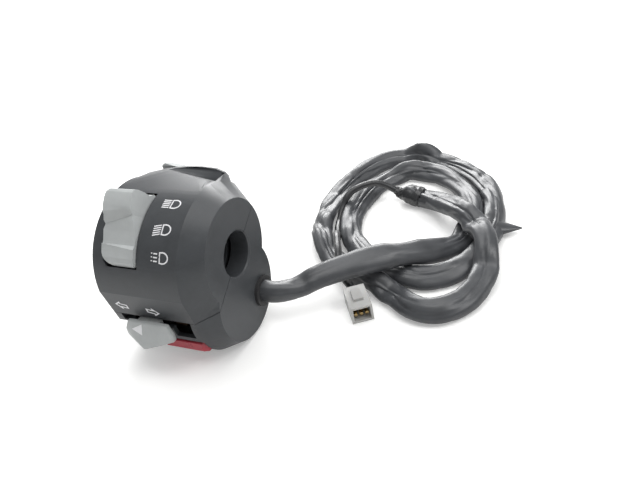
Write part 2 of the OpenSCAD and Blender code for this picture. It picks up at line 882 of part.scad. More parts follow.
module turn_guide_screws() {
  color("#b9bcc0")
    for (x = guide_ears) {
      rod_z(guide_low - guide_t - 6, guide_low, guide_screw_r, x, guide_ear_y);
      rod_z(guide_low, guide_low + 1.8, 2.8, x, guide_ear_y);
    }
}

// Horn dimensions that follow from the driving ones
horn_stem_y = 11 - horn_reach;
horn_flange_t = 1.5;
horn_board_w = 12;
horn_board_y = horn_stem_y + 6.3;
horn_board_top = horn_z + 4;
rib_t = 1.2;
horn_plunger_r = 1.6;

module horn_button() {
  color("#b23038") {
    hull() {
      block(
        [horn_x - horn_w / 2, -horn_reach + 3, horn_z - horn_h / 2],
        [horn_x + horn_w / 2, horn_stem_y - 4, horn_z + horn_h / 2]);
      block(
        [horn_x - horn_w / 2 + 1.2, -horn_reach, horn_z - horn_h / 2 + 2.2],
        [horn_x + horn_w / 2 - 1.2, -horn_reach + 1, horn_z + horn_h / 2 - 0.8]);
    }
    block(
      [horn_x - horn_w / 2 + 2, horn_stem_y - 5, horn_z - 2],
      [horn_x + horn_w / 2 - 4, horn_stem_y, horn_z + 3]);
    block(
      [horn_x - horn_w / 2 - 2, horn_stem_y, horn_z - 3],
      [horn_x + horn_w / 2 - 2, horn_stem_y + horn_flange_t, horn_z + horn_h / 2 + 2]);
  }
}

module horn_plunger() {
  color("#c07a45") {
    rod_y(horn_stem_y + horn_flange_t, horn_stem_y + horn_flange_t + 0.6, 2, horn_x, horn_z);
    rod_y(horn_stem_y + horn_flange_t + 0.3, horn_board_y - 0.4 - horn_travel - 0.3,
      horn_plunger_r, horn_x, horn_z);
  }
}

module horn_spring() {
  color("#8d9196")
    translate([horn_x, horn_stem_y + horn_flange_t + 0.02, horn_z])
      rotate([-90, 0, 0])
        spring(3.2, 0.7, horn_board_y - horn_stem_y - horn_flange_t - 0.04, 4);
}

module horn_board() {
  color("#7a5a36")
    difference() {
      block(
        [horn_x - horn_board_w / 2, horn_board_y, base_z + wall],
        [horn_x + horn_board_w / 2, horn_board_y + board_t, horn_board_top]);
      rod_y(-big, 0, rivet_r + press_clearance, horn_x, horn_z);
    }
}

module horn_contact() {
  color("#cfa85e") {
    rod_y(horn_board_y - 0.4, horn_board_y, 1.6, horn_x, horn_z);
    rod_y(horn_board_y, horn_board_y + board_t + 0.2, rivet_r, horn_x, horn_z);
  }
}

// Passing trigger dimensions that follow from the driving ones
pass_cheek = 2;
pass_neck = 4;
pass_hub_r = 3.2;
pass_pin_len = pass_w + 2 * slide_clearance + 2 * pass_cheek;
pass_spring_gap = 5;
pass_arm = 8.5;
pass_block_w = 7;
pass_block_y = pass_y - 19;
pass_block_d = 4;
pass_block_z = pass_z + 1;
pass_block_h = 5.5;
leaf_t = 0.4;
leaf_reach = 13.5;

// Rear view of the trigger pad, round at its outboard top and lower towards the inboard side
module pass_front() {
  left = pass_x - pass_w / 2;
  right = pass_x + pass_w / 2;
  hull()
    for (c = [[left + 2.5, pass_top - 2.5, 2.5], [right - 1, pass_top - pass_fall - 1, 1],
              [left + 2, pass_foot + 2, 2], [right - 2, pass_foot + 2, 2]])
      translate([c[0], c[1]])
        circle(c[2], $fn = 48);
}

module pass_trigger() {
  color("#a7acac")
    difference() {
      union() {
        rod_x(pass_x - pass_w / 2, pass_x + pass_w / 2, pass_hub_r, pass_y, pass_z);
        block(
          [pass_x - pass_w / 2, pass_y, pass_z - pass_neck / 2 + 0.6],
          [pass_x + pass_w / 2, pass_reach - 0.5, pass_z + pass_neck / 2 + 0.6]);
        block([pass_x - 4, pass_y - pass_arm, pass_z - 1.2], [pass_x + 4, pass_y, pass_z + 1.2]);
        intersection() {
          slab(pass_x - pass_w / 2, pass_w)
            polygon([
              [pass_reach - pass_pad, pass_foot + 1.2], [pass_reach - pass_pad + 0.8, pass_foot],
              [pass_reach + 0.4, pass_foot + 0.4], [pass_reach + 0.4, pass_foot + 4],
              [pass_reach - 0.4, pass_foot + 10], [pass_reach, pass_z + 4],
              [pass_reach - 0.6, pass_top - 1], [pass_reach - 1.4, pass_top],
              [pass_reach - 3, pass_top], [pass_reach - pass_pad - 1, pass_top - 1],
              [pass_reach - pass_pad, pass_z + 4]]);
          translate([0, big, 0])
            rotate([90, 0, 0])
              linear_extrude(big)
                pass_front();
        }
      }
      rod_x(-big, big, pass_pin_d / 2 + pivot_clearance, pass_y, pass_z);
      block(
        [pass_x - pass_spring_gap / 2, pass_y - 3.6, pass_z - 4],
        [pass_x + pass_spring_gap / 2, pass_y + 3.6, pass_z + 4]);
    }
}

module pass_pivot_pin() {
  color("#c3c6c9")
    rod_x(pass_x - pass_pin_len / 2, pass_x + pass_pin_len / 2, pass_pin_d / 2, pass_y, pass_z);
}

module pass_spring() {
  color("#8d9196")
    translate([pass_x - pass_spring_gap / 2 + 0.4, pass_y, pass_z])
      rotate([0, 90, 0])
        spring(pass_pin_d / 2 + 0.6, 0.7, pass_spring_gap - 0.8, 4);
}

module pass_block() {
  color("#7a5a36")
    difference() {
      block(
        [pass_x - pass_block_w / 2, pass_block_y, pass_block_z],
        [pass_x + pass_block_w / 2, pass_block_y + pass_block_d, pass_block_z + pass_block_h]);
      for (z = leaf_zs)
        block(
          [pass_x - 2.5 - press_clearance, -big, z - press_clearance],
          [pass_x + 2.5 + press_clearance, big, z + leaf_t + press_clearance]);
    }
}

leaf_zs = [pass_block_z + 1.6, pass_block_z + 3.6];

module pass_leaves() {
  color("#c07a45")
    for (z = leaf_zs)
      block([pass_x - 2.5, pass_block_y - 1, z], [pass_x + 2.5, leaf_reach, z + leaf_t]);
}

// Width of the tie that stops the loom from pulling out through its grommet
tie_w = 2.6;
loom_start = x_in - end_wall - grommet_flange - tie_w - 0.6;

// A place given in the light switch's frame
function light_point(x, y, z) =
  let (a = light_angle - 90)
    [x, face_y + y * cos(a) - z * sin(a), face_z + y * sin(a) + z * cos(a)];

// Wire routes inside the case, from the loom's end to each board
wire_d = 2.2;
horn_back = horn_board_y + board_t;
light_edge = light_board - board_t / 2;
wire_from = loom_start - 0.05;
wire_turn = loom_start - 1.4;
wire_routes = [
  [[wire_from, 9, -34], [wire_turn, 9, -34], [19.6, 3, -36], [19.8, -1, -37], [19.8, horn_back + 4.1, -38],
   [14, horn_back + 3, -38], [horn_x + 4, horn_back + 2.2, -38], [horn_x + 4, horn_back + 0.05, -38]],
  [[wire_from, 9, -29], [wire_turn, 9, -29], [19.6, 2, -29.5], [19.5, -8, -31], [15, -11.2, -31],
   [8.4, -11.6, -31], [5.6, -11.8, -29.6], [5.5, guide_back + 1.2, guide_low - 0.1]],
  [[wire_from, 13, -28], [wire_turn, 13, -28], [19.8, 16.4, -21], [21.2, 17, -16], [21.4, 17.2, -4],
   [20.8, 15.2, 8], [19, 8, 20.5], [12, -4.4, 22.6], light_point(5, 7, light_board + 3.5),
   light_point(2, 4.2, light_edge), light_point(light_x + light_pin_len / 2 + 0.05, 4.2, light_edge)],
  [[wire_from, 13.6, -33], [wire_turn, 13.6, -33], [20, 19, -30], [21.5, 21, -24], [23, 20.6, -6],
   [23, 18.6, 6.5], [23, 12, 17], [23, 6, 18], [12, 0.6, 18], [3, 3, 21.5], [-8, 3, 23.8],
   [pass_x + pass_block_w / 2 + 0.05, 3, pass_block_z + 2.8]]
];

module inner_wires() {
  color("#4b6a3c")
    for (p = wire_routes)
      tube(p, wire_d / 2, 8);
}

module loom_grommet() {
  color("#232425")
    difference() {
      union() {
        rod_x(x_in - end_wall, x_in, loom_r + grommet_wall, loom_y, loom_z);
        for (x = [x_in - end_wall - grommet_flange, x_in])
          rod_x(x, x + grommet_flange, flange_r, loom_y, loom_z);
      }
      rod_x(-big, big, loom_r + press_clearance, loom_y, loom_z);
    }
}

module loom_tie() {
  color("#1d1e1f")
    difference() {
      union() {
        rod_x(x_in - end_wall - grommet_flange - tie_w, x_in - end_wall - grommet_flange,
          loom_r + 1, loom_y, loom_z);
        block(
          [x_in - end_wall - grommet_flange - tie_w, loom_y - loom_r - 3.4, loom_z - 2.5],
          [x_in - end_wall - grommet_flange, loom_y - loom_r, loom_z + 2.5]);
      }
      rod_x(-big, big, loom_r + press_clearance, loom_y, loom_z);
    }
}

// Route of the loom from the case to the right end of its coil: X, Y and lift over the table
function lifted(p) = [for (q = p) [q[0], q[1], table_loom_z + q[2]]];

coil_join = [113, 98, 0];
lead_route = concat(
  [[loom_start, loom_y, loom_z], [x_in, loom_y, loom_z], [36, 12.5, loom_z]],
  lifted([[44, 16.5, 12], [54, 24, 14.5], [64, 32, 15.5], [74, 40, 15.5], [84, 48.5, 13.5],
    [94, 58, 9.6], [102, 67, 4.5], [108, 77, 1], [113, 87, 0], coil_join]));

// Route of the coil: inner loop, outer loop, along the front, then over the lead's end to the inside
coil_route = lifted([
  coil_join, [113, 109, 0], [110, 124, 0], [102, 138, 0], [91, 149, 0], [78, 156, 0],
  [64, 157, 0], [53, 150, 0], [46, 139, 0], [43, 125, 0], [42.5, 110, 0], [45, 95, 0],
  [51, 80, 0], [60, 68.5, 0], [71, 59, 0], [82, 52.5, 0], [94, 49.5, 0], [105, 51, 0],
  [114, 57, 0], [120, 66, 0], [124.5, 77, 0], [126.5, 92, 0], [126, 108, 0], [122, 126, 0],
  [114, 143, 0], [104, 156, 0], [92, 166, 0], [78, 172, 0], [63, 176, 0], [49, 174, 0],
  [38, 165, 0], [30, 150, 0], [25.5, 132, 0], [24.5, 112, 0], [28, 90, 0], [36, 73, 0],
  [46, 61, 0], [57, 52, 0], [69, 44.5, 0], [80.5, 39.5, 0], [91, 34, 0], [100, 27.5, 0],
  [109, 24.5, 0], [118, 27, 0], [125.5, 35, 0], [130, 47, 1], [131.5, 60, 5.5],
  [129.5, 73, 10.5], [124, 84, 12], [116, 94, 12.5], [107, 103, 11.5], [98, 112, 7.5],
  [90, 119, 3], [80, 125, 0], [70, 128, 0]]);

// Route of the taped tail from the sleeve's end to the connector: X, Y and height over the table
tail_r = tail_d / 2;
plug_mid = plug_h / 2;
tail_route = [for (q = [
  [70, 128, loom_r], [64, 129.8, loom_r], [57, 129, 10], [50, 125.5, 14.2], [42, 119, 14.6],
  [36.5, 113, 12], [34.4, 107, 6.5], [34.6, 100, 2.4], [36.8, 91, 2.2], [41, 81, 2.8],
  [43.6, 75.8, 8.5], [46.5, 69.5, 13.6], [50, 61.5, 14.6], [54, 53, 14.4], [57, 45.5, 11.5],
  [61.5, 39.5, 7.5], [67.8, 34.8, plug_mid], [70, 31.5, plug_mid]])
    [q[0], q[1], base_z + q[2]]];

module loom_lead() {
  color("#151617")
    tube(lead_route, loom_r, 10);
}

module loom_coil() {
  color("#151617")
    tube(coil_route, loom_r, 8);
}

module loom_tail() {
  color("#1a1b1c")
    tube(tail_route, tail_r, 8);
}

// Connector frame: X out of the tail's end along the table
plug_z = base_z;
tail_end = tail_route[len(tail_route) - 1];
tail_run = tail_end - tail_route[len(tail_route) - 2];
plug_turn = atan2(tail_run[1], tail_run[0]);

module at_plug() {
  translate([tail_end[0], tail_end[1], 0])
    rotate([0, 0, plug_turn])
      children();
}

plug_rows = [-plug_pitch, 0, plug_pitch];
plug_cols = [plug_h * 0.3, plug_h * 0.7];
terminal_r = 0.9;

module plug_housing() {
  color("#e9e6da")
    at_plug()
      difference() {
        union() {
          block([0, -plug_w / 2, plug_z], [plug_len, plug_w / 2, plug_z + plug_h]);
          block([4, -2.5, plug_z + plug_h], [plug_len - 5, 2.5, plug_z + plug_h + 1.6]);
        }
        block(
          [7, -plug_w / 2 + 1.2, plug_z + 1.2],
          [plug_len + 1, plug_w / 2 - 1.2, plug_z + plug_h - 1.2]);
        for (y = plug_rows)
          for (z = plug_cols)
            rod_x(2, plug_len, terminal_r + press_clearance, y, plug_z + z);
      }
}

module plug_terminals() {
  color("#cfb27a")
    at_plug()
      for (y = plug_rows)
        for (z = plug_cols)
          rod_x(2, plug_len - 3, terminal_r, y, plug_z + z);
}

upper_case();
lower_case();
clamp_screws();
clamp_inserts();
light_knob();
light_pivot_pin();
light_contact();
light_board();
light_rivets();
light_board_screws();
light_detent_ball();
light_detent_spring();
turn_knob();
turn_carriage();
turn_guide();
turn_board();
turn_rivets();
turn_contact();
turn_cancel_spring();
turn_detent_ball();
turn_detent_spring();
turn_guide_screws();
horn_button();
horn_plunger();
horn_spring();
horn_board();
horn_contact();
pass_trigger();
pass_pivot_pin();
pass_spring();
pass_block();
pass_leaves();
inner_wires();
loom_grommet();
loom_tie();
loom_lead();
loom_coil();
loom_tail();
plug_housing();
plug_terminals();
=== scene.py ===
"""Dressed model of a left-hand handlebar switch cluster with its sleeved loom.

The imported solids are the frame: every piece is in metres in the same axes, X along the
bar, Y away from the rider and Z up. Rounded shells stand for the case and the knobs,
white marks lie on the case, and a soft flattened sleeve stands for the loom.
"""

import json
import logging
import math
from dataclasses import dataclass, field
from enum import Enum
from typing import Any, Callable, Iterable, Sequence

import bmesh
import bpy
from mathutils import Matrix, Vector, noise
from mathutils.bvhtree import BVHTree


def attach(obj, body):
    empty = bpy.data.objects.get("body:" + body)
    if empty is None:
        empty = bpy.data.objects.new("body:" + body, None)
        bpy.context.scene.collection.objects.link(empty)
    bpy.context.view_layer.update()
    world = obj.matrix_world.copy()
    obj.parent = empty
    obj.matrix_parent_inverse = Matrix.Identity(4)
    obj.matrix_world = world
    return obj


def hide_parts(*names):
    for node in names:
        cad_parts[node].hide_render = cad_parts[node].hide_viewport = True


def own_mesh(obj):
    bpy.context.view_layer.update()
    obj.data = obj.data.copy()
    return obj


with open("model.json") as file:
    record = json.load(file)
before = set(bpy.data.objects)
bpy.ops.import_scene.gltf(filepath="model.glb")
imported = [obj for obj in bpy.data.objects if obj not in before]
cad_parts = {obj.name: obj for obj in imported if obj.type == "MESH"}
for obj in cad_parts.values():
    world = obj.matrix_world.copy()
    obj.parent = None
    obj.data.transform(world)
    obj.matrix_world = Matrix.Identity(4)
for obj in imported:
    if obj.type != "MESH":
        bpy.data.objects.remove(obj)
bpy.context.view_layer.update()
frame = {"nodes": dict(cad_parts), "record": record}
MM = 0.001
TABLE_Z = -47.5 * MM
log = logging.getLogger("switch_cluster")

Colour = tuple[float, float, float]
Point = tuple[float, float, float]
Pair = tuple[float, float]
Four = tuple[float, float, float, float]
Rows = tuple[Pair, ...]
Node = bpy.types.Node
Material = bpy.types.Material
Piece = bpy.types.Object
Shape = bmesh.types.BMesh

# A point on the round rider face's axis in millimetres, and the face's directions at the light switch
FACE_CENTRE = Vector((0, 2, -4))
FACE_OUT = Vector((0, -0.60182, 0.79864))
FACE_UP = Vector((0, 0.79864, 0.60182))


class Body(Enum):
    """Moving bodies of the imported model."""

    CASE = "case"
    LIGHT = "light_rocker"
    SLIDER = "turn_slider"
    TURN = "turn_button"
    HORN = "horn"
    PASSING = "passing"


class Slot(Enum):
    """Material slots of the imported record."""

    CASE = "case_plastic"
    GREY = "grey_plastic"
    RED = "red_plastic"
    INNER = "inner_plastic"
    BOARD = "board"
    STEEL = "steel"
    SPRING = "spring_steel"
    BRASS = "brass"
    BRONZE = "bronze"
    RUBBER = "rubber"
    SLEEVE = "sleeve"
    WIRE = "wire"
    NYLON = "nylon"


class Grain(Enum):
    """How the fine relief of a finish lies on its surface."""

    SPECKLE = "speckle"
    BRUSHED = "brushed"
    FIBRE = "fibre"


class NodeBoard:
    """One node material under construction, with its shader already joined to the output."""

    def __init__(self, name: str) -> None:
        """Starts an empty material.

        Args:
            name: Name of the material.
        """
        self.material = bpy.data.materials.new(name)
        self.material.use_nodes = True
        self.tree = self.material.node_tree
        self.tree.nodes.clear()
        output = self.add("ShaderNodeOutputMaterial")
        self.shader = self.add("ShaderNodeBsdfPrincipled")
        self.join(self.shader, "BSDF", output, "Surface")

    def add(self, kind: str, **settings: Any) -> Node:
        """Adds a node.

        Args:
            kind: Blender's type name of the node.
            settings: Properties of the node, such as operation or data_type.

        Returns:
            The new node.
        """
        node = self.tree.nodes.new(kind)
        for key, value in settings.items():
            setattr(node, key, value)
        return node

    def join(self, source: Node, out: str | int, target: Node, into: str | int) -> None:
        """Links an output of one node to an input of another."""
        self.tree.links.new(source.outputs[out], target.inputs[into])

    def put(self, socket: str, value: Any) -> None:
        """Sets a constant on the shader's own socket."""
        self.shader.inputs[socket].default_value = value

    def coords(self, scale: Sequence[float] = (1, 1, 1), uv: str = "") -> Node:
        """Gives a mapped coordinate.

        Args:
            scale: Scale of the pattern along each axis.
            uv: Name of a UV map, or nothing for object coordinates.

        Returns:
            The Mapping node.
        """
        mapping = self.add("ShaderNodeMapping")
        mapping.inputs["Scale"].default_value = scale
        if uv:
            self.join(self.add("ShaderNodeUVMap", uv_map=uv), "UV", mapping, "Vector")
        else:
            self.join(self.add("ShaderNodeTexCoord"), "Object", mapping, "Vector")
        return mapping

    def noise(self, mapping: Node, size: float, detail: float = 3.0, rough: float = 0.55) -> Node:
        """Gives a noise texture.

        Args:
            mapping: The coordinate it reads.
            size: Size of its blobs in metres.
            detail: Octaves of finer noise.
            rough: Strength of the finer octaves.

        Returns:
            The noise node.
        """
        node = self.add("ShaderNodeTexNoise")
        node.inputs["Scale"].default_value = 1.0 / size
        node.inputs["Detail"].default_value = detail
        node.inputs["Roughness"].default_value = rough
        self.join(mapping, "Vector", node, "Vector")
        return node

    def blend(self, factor: Node, low: Colour, high: Colour) -> Node:
        """Gives a colour that runs from low to high over a texture's 0.3 to 0.7.

        Args:
            factor: Node whose first output drives the colour.
            low: Colour at the start.
            high: Colour at the end.

        Returns:
            The colour ramp node.
        """
        ramp = self.add("ShaderNodeValToRGB")
        for stop, position, colour in zip(ramp.color_ramp.elements, (0.3, 0.7), (low, high)):
            stop.position = position
            stop.color = (*colour, 1)
        self.join(factor, 0, ramp, "Fac")
        return ramp

    def spread(
        self, factor: Node, low: float, high: float, span: Pair = (0.25, 0.75), out: str | int = 0
    ) -> Node:
        """Gives a value that runs from low to high with another node's value.

        Args:
            factor: The node that is read.
            low: Value at the start.
            high: Value at the end.
            span: The node's own value at the start and at the end.
            out: Output of the node.

        Returns:
            The Map Range node.
        """
        node = self.add("ShaderNodeMapRange")
        for key, value in zip(("From Min", "From Max", "To Min", "To Max"), (*span, low, high)):
            node.inputs[key].default_value = value
        self.join(factor, out, node, "Value")
        return node

    def maths(self, operation: str, *sources: tuple[Node, str | int]) -> Node:
        """Joins outputs in a Math node.

        Args:
            operation: Blender's name of the operation.
            sources: Pairs of node and output, in order.

        Returns:
            The Math node.
        """
        node = self.add("ShaderNodeMath", operation=operation)
        for into, (source, out) in enumerate(sources):
            self.join(source, out, node, into)
        return node

    def relief(self, heights: Sequence[tuple[Node, float]]) -> None:
        """Chains bumps into the shader's normal.

        Args:
            heights: Pairs of texture node and depth in metres.
        """
        last = None
        for texture, depth in heights:
            bump = self.add("ShaderNodeBump")
            bump.inputs["Strength"].default_value = 1.0
            bump.inputs["Distance"].default_value = depth
            self.join(texture, 0, bump, "Height")
            if last:
                self.join(last, "Normal", bump, "Normal")
            last = bump
        if last:
            self.join(last, "Normal", self.shader, "Normal")


def tint(colour: Colour, share: float) -> Colour:
    """Gives a colour made lighter or darker by a share of itself."""
    return tuple(min(1.0, max(0.0, c * (1 + share))) for c in colour)


@dataclass(frozen=True)
class Finish:
    """A hard surface finish.

    Attributes:
        name: Name of the material.
        slot: Record slot that the finish stands for.
        colour: Base colour.
        roughness: Mean roughness.
        grain: Size of the fine relief in metres.
        depth: Depth of the fine relief in metres.
        mottle: Share by which the colour varies.
        metallic: 1 for metals.
        specular: Specular level.
        pattern: How the fine relief lies.
        patch: Size of the colour patches in metres.
        glow: Share of light that passes under the surface.
        glow_reach: How far red, green and blue pass there, in metres.
        swing: How far the roughness varies about its mean.
    """

    name: str
    slot: Slot
    colour: Colour
    roughness: float
    grain: float = 0.35 * MM
    depth: float = 0.012 * MM
    mottle: float = 0.08
    metallic: float = 0.0
    specular: float = 0.5
    pattern: Grain = Grain.SPECKLE
    patch: float = 7 * MM
    glow: float = 0.0
    glow_reach: Colour = (1.2 * MM, 1.0 * MM, 0.8 * MM)
    swing: float = 0.05

    def material(self) -> Material:
        """Builds the node material.

        Returns:
            The material.
        """
        board = NodeBoard(self.name)
        stretch = {
            Grain.SPECKLE: (1, 1, 1),
            Grain.BRUSHED: (0.06, 1, 1),
            Grain.FIBRE: (0.25, 1, 0.5),
        }[self.pattern]
        fine = board.noise(board.coords(stretch), self.grain, 2.0)
        wide = board.noise(board.coords(), self.patch, 4.0, 0.6)
        colour = board.blend(wide, tint(self.colour, -self.mottle), tint(self.colour, self.mottle))
        board.join(colour, "Color", board.shader, "Base Color")
        gloss = board.spread(wide, self.roughness - self.swing, self.roughness + self.swing)
        board.join(gloss, "Result", board.shader, "Roughness")
        board.put("Metallic", self.metallic)
        board.put("Specular IOR Level", self.specular)
        if self.glow:
            board.put("Subsurface Weight", self.glow)
            board.put("Subsurface Radius", self.glow_reach)
            board.put("Subsurface Scale", 1.0)
        board.relief([(fine, self.depth)])
        return board.material


@dataclass(frozen=True)
class MetalFinish(Finish):
    """A brushed or drawn metal."""

    grain: float = 0.15 * MM
    depth: float = 0.003 * MM
    mottle: float = 0.1
    metallic: float = 1.0
    pattern: Grain = Grain.BRUSHED


@dataclass(frozen=True)
class SleeveFinish:
    """Soft glossy sleeve or tape, whose creases follow the cord.

    Attributes:
        name: Name of the material.
        slot: Record slot that the finish stands for.
        colour: Base colour.
        roughness: Mean roughness.
        crease: Depth of the small creases in metres.
        band: Width of the wound tape's bands in metres, or 0 for a plain sleeve.
        uv: Name of the UV map, in metres along and round the cord.
        folds: Size of the creases across the cord in metres.
        streaks: Size of the creases along the cord in metres.
        film: Size of the dull patches in metres.
        lap: Height of the step between the tape's bands in metres.
    """

    name: str
    slot: Slot
    colour: Colour
    roughness: float
    crease: float
    band: float = 0.0
    uv: str = "along"
    folds: float = 11 * MM
    streaks: float = 6 * MM
    film: float = 14 * MM
    lap: float = 0.12 * MM

    def material(self) -> Material:
        """Builds the node material.

        Returns:
            The material.
        """
        board = NodeBoard(self.name)
        across = board.noise(board.coords((1, 0.5, 1), self.uv), self.folds, 1.5, 0.4)
        lengthwise = board.noise(board.coords((0.12, 1, 1), self.uv), self.streaks, 1.0, 0.4)
        film = board.noise(board.coords(), self.film, 4.0, 0.55)
        colour = board.blend(film, tint(self.colour, -0.2), tint(self.colour, 0.25))
        board.join(colour, "Color", board.shader, "Base Color")
        gloss = board.spread(film, self.roughness - 0.07, self.roughness + 0.09)
        board.join(gloss, "Result", board.shader, "Roughness")
        board.put("Specular IOR Level", 0.6)
        heights = [(lengthwise, self.crease), (across, self.crease)]
        if self.band:
            wave = board.add("ShaderNodeTexWave", wave_profile="SAW")
            wave.inputs["Scale"].default_value = 0.05 / self.band * 6.3
            wave.inputs["Distortion"].default_value = 0.4
            board.join(board.coords((1, 0.35, 1), self.uv), "Vector", wave, "Vector")
            heights.append((wave, self.lap))
        board.relief(heights)
        return board.material


CASE_PLASTIC = Finish(
    "case_plastic", Slot.CASE, (0.052, 0.056, 0.061), 0.45, 0.3 * MM, 0.016 * MM, 0.1, specular=0.42
)
GREY_PLASTIC = Finish("grey_plastic", Slot.GREY, (0.46, 0.48, 0.48), 0.42, 0.25 * MM, 0.006 * MM, 0.05)
RED_PLASTIC = Finish("red_plastic", Slot.RED, (0.42, 0.035, 0.055), 0.3, 0.3 * MM, 0.005 * MM, 0.1)
INNER_PLASTIC = Finish("inner_plastic", Slot.INNER, (0.03, 0.03, 0.033), 0.5)
# The board's colour is a brown-black well below the brown of its laminate, so that the board reads as the
# shade inside the case: partly its own dark colour, partly painted shade.
BOARD = Finish(
    "laminate_board", Slot.BOARD, (0.06, 0.036, 0.02), 0.55, 0.5 * MM, 0.01 * MM, 0.22, pattern=Grain.FIBRE
)
STEEL = MetalFinish("zinc_steel", Slot.STEEL, (0.6, 0.61, 0.62), 0.34, 0.2 * MM, 0.004 * MM, 0.08)
SPRING_STEEL = MetalFinish("spring_steel", Slot.SPRING, (0.45, 0.46, 0.48), 0.3)
BRASS = MetalFinish("turned_brass", Slot.BRASS, (0.72, 0.53, 0.24), 0.3, mottle=0.08)
BRONZE = MetalFinish("bronze_strip", Slot.BRONZE, (0.62, 0.36, 0.17), 0.33, 0.2 * MM)
RUBBER = Finish("bush_rubber", Slot.RUBBER, (0.022, 0.022, 0.023), 0.62, 0.5 * MM, 0.02 * MM, 0.15)
WIRE = Finish("wire_insulation", Slot.WIRE, (0.025, 0.06, 0.028), 0.35, 0.6 * MM, 0.01 * MM, 0.12)
NYLON = Finish("natural_nylon", Slot.NYLON, (0.46, 0.46, 0.45), 0.45, 0.4 * MM, 0.006 * MM, 0.04, glow=0.15)
MARK_WHITE = Finish("mark_white", Slot.NYLON, (0.86, 0.86, 0.88), 0.45, 0.2 * MM, 0.004 * MM, 0.04)
SLEEVE = SleeveFinish("loom_sleeve", Slot.SLEEVE, (0.05, 0.053, 0.058), 0.4, 0.07 * MM)
TAPE = SleeveFinish("wound_tape", Slot.SLEEVE, (0.02, 0.021, 0.023), 0.38, 0.05 * MM, 9 * MM)

SLOT_FINISH = {
    finish.slot.value: finish
    for finish in (
        CASE_PLASTIC, GREY_PLASTIC, RED_PLASTIC, INNER_PLASTIC, BOARD, STEEL,
        SPRING_STEEL, BRASS, BRONZE, RUBBER, WIRE, NYLON, SLEEVE,
    )
}


class Palette:
    """Materials made once for each finish."""

    made: dict[str, Material] = {}

    @classmethod
    def of(cls, finish: Finish | SleeveFinish) -> Material:
        """Gives the material of a finish, made on first use.

        Args:
            finish: The finish.

        Returns:
            Its material.
        """
        if finish.name not in cls.made:
            cls.made[finish.name] = finish.material()
        return cls.made[finish.name]


class Bench:
    """Turns meshes into pieces of the object."""

    weld: float = 0.002 * MM
    flat_degrees: float = 0.7

    @staticmethod
    def place(
        name: str,
        bm: Shape,
        finish: Finish | SleeveFinish,
        body: Body,
        replaces: Sequence[str] = (),
        sharp: float = 40.0,
    ) -> Piece:
        """Makes a piece from a bmesh, which is freed.

        Args:
            name: Name of the piece.
            bm: Its shape, in place.
            finish: Its finish.
            body: Body that it moves with.
            replaces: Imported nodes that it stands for.
            sharp: Angle in degrees past which an edge is shaded sharp.

        Returns:
            The new object.
        """
        mesh = bpy.data.meshes.new(name)
        bm.to_mesh(mesh)
        bm.free()
        mesh.shade_smooth()
        mesh.set_sharp_from_angle(angle=math.radians(sharp))
        obj = bpy.data.objects.new(name, mesh)
        bpy.context.scene.collection.objects.link(obj)
        mesh.materials.append(Palette.of(finish))
        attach(obj, body.value)
        if replaces:
            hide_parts(*replaces)
        log.info("%s: %d faces on %s", name, len(mesh.polygons), body.value)
        return obj

    @staticmethod
    def solid(node: str) -> Shape:
        """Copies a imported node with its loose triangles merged.

        Args:
            node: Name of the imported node.

        Returns:
            The merged copy.
        """
        bm = bmesh.new()
        bm.from_mesh(frame["nodes"][node].data)
        bmesh.ops.remove_doubles(bm, verts=bm.verts, dist=Bench.weld)
        flat = math.radians(Bench.flat_degrees)
        bmesh.ops.dissolve_limit(
            bm, angle_limit=flat, verts=bm.verts, edges=bm.edges, use_dissolve_boundaries=False
        )
        return bm

    @staticmethod
    def soften(
        obj: Piece, width: float, angle: float = 25.0, segments: int = 3, hollow: bool = True
    ) -> None:
        """Rounds the sharp edges of a piece.

        Args:
            obj: The piece.
            width: Width of the rounding in metres.
            angle: Least angle of an edge that is rounded, in degrees.
            segments: Faces across the rounding.
            hollow: Whether inner corners are rounded too.
        """
        bm = bmesh.new()
        bm.from_mesh(obj.data)
        weight = bm.edges.layers.float.new("bevel_weight_edge")
        for edge in bm.edges:
            if edge.is_manifold and edge.calc_face_angle() > math.radians(angle):
                edge[weight] = 1.0 if hollow or edge.is_convex else 0.0
        bm.to_mesh(obj.data)
        bm.free()
        round_off = obj.modifiers.new("round_edges", "BEVEL")
        round_off.width = width
        round_off.segments = segments
        round_off.limit_method = "WEIGHT"
        round_off.affect = "EDGES"
        round_off.material = -1
        round_off.profile = 0.5
        round_off.miter_outer = "MITER_ARC"
        round_off.use_clamp_overlap = True
        round_off.harden_normals = False


@dataclass(frozen=True)
class SoftBox:
    """A rectangular lamp: its name, place, width and depth in metres, and its power in watts."""

    name: str
    place: Point
    width: float
    depth: float
    watts: float


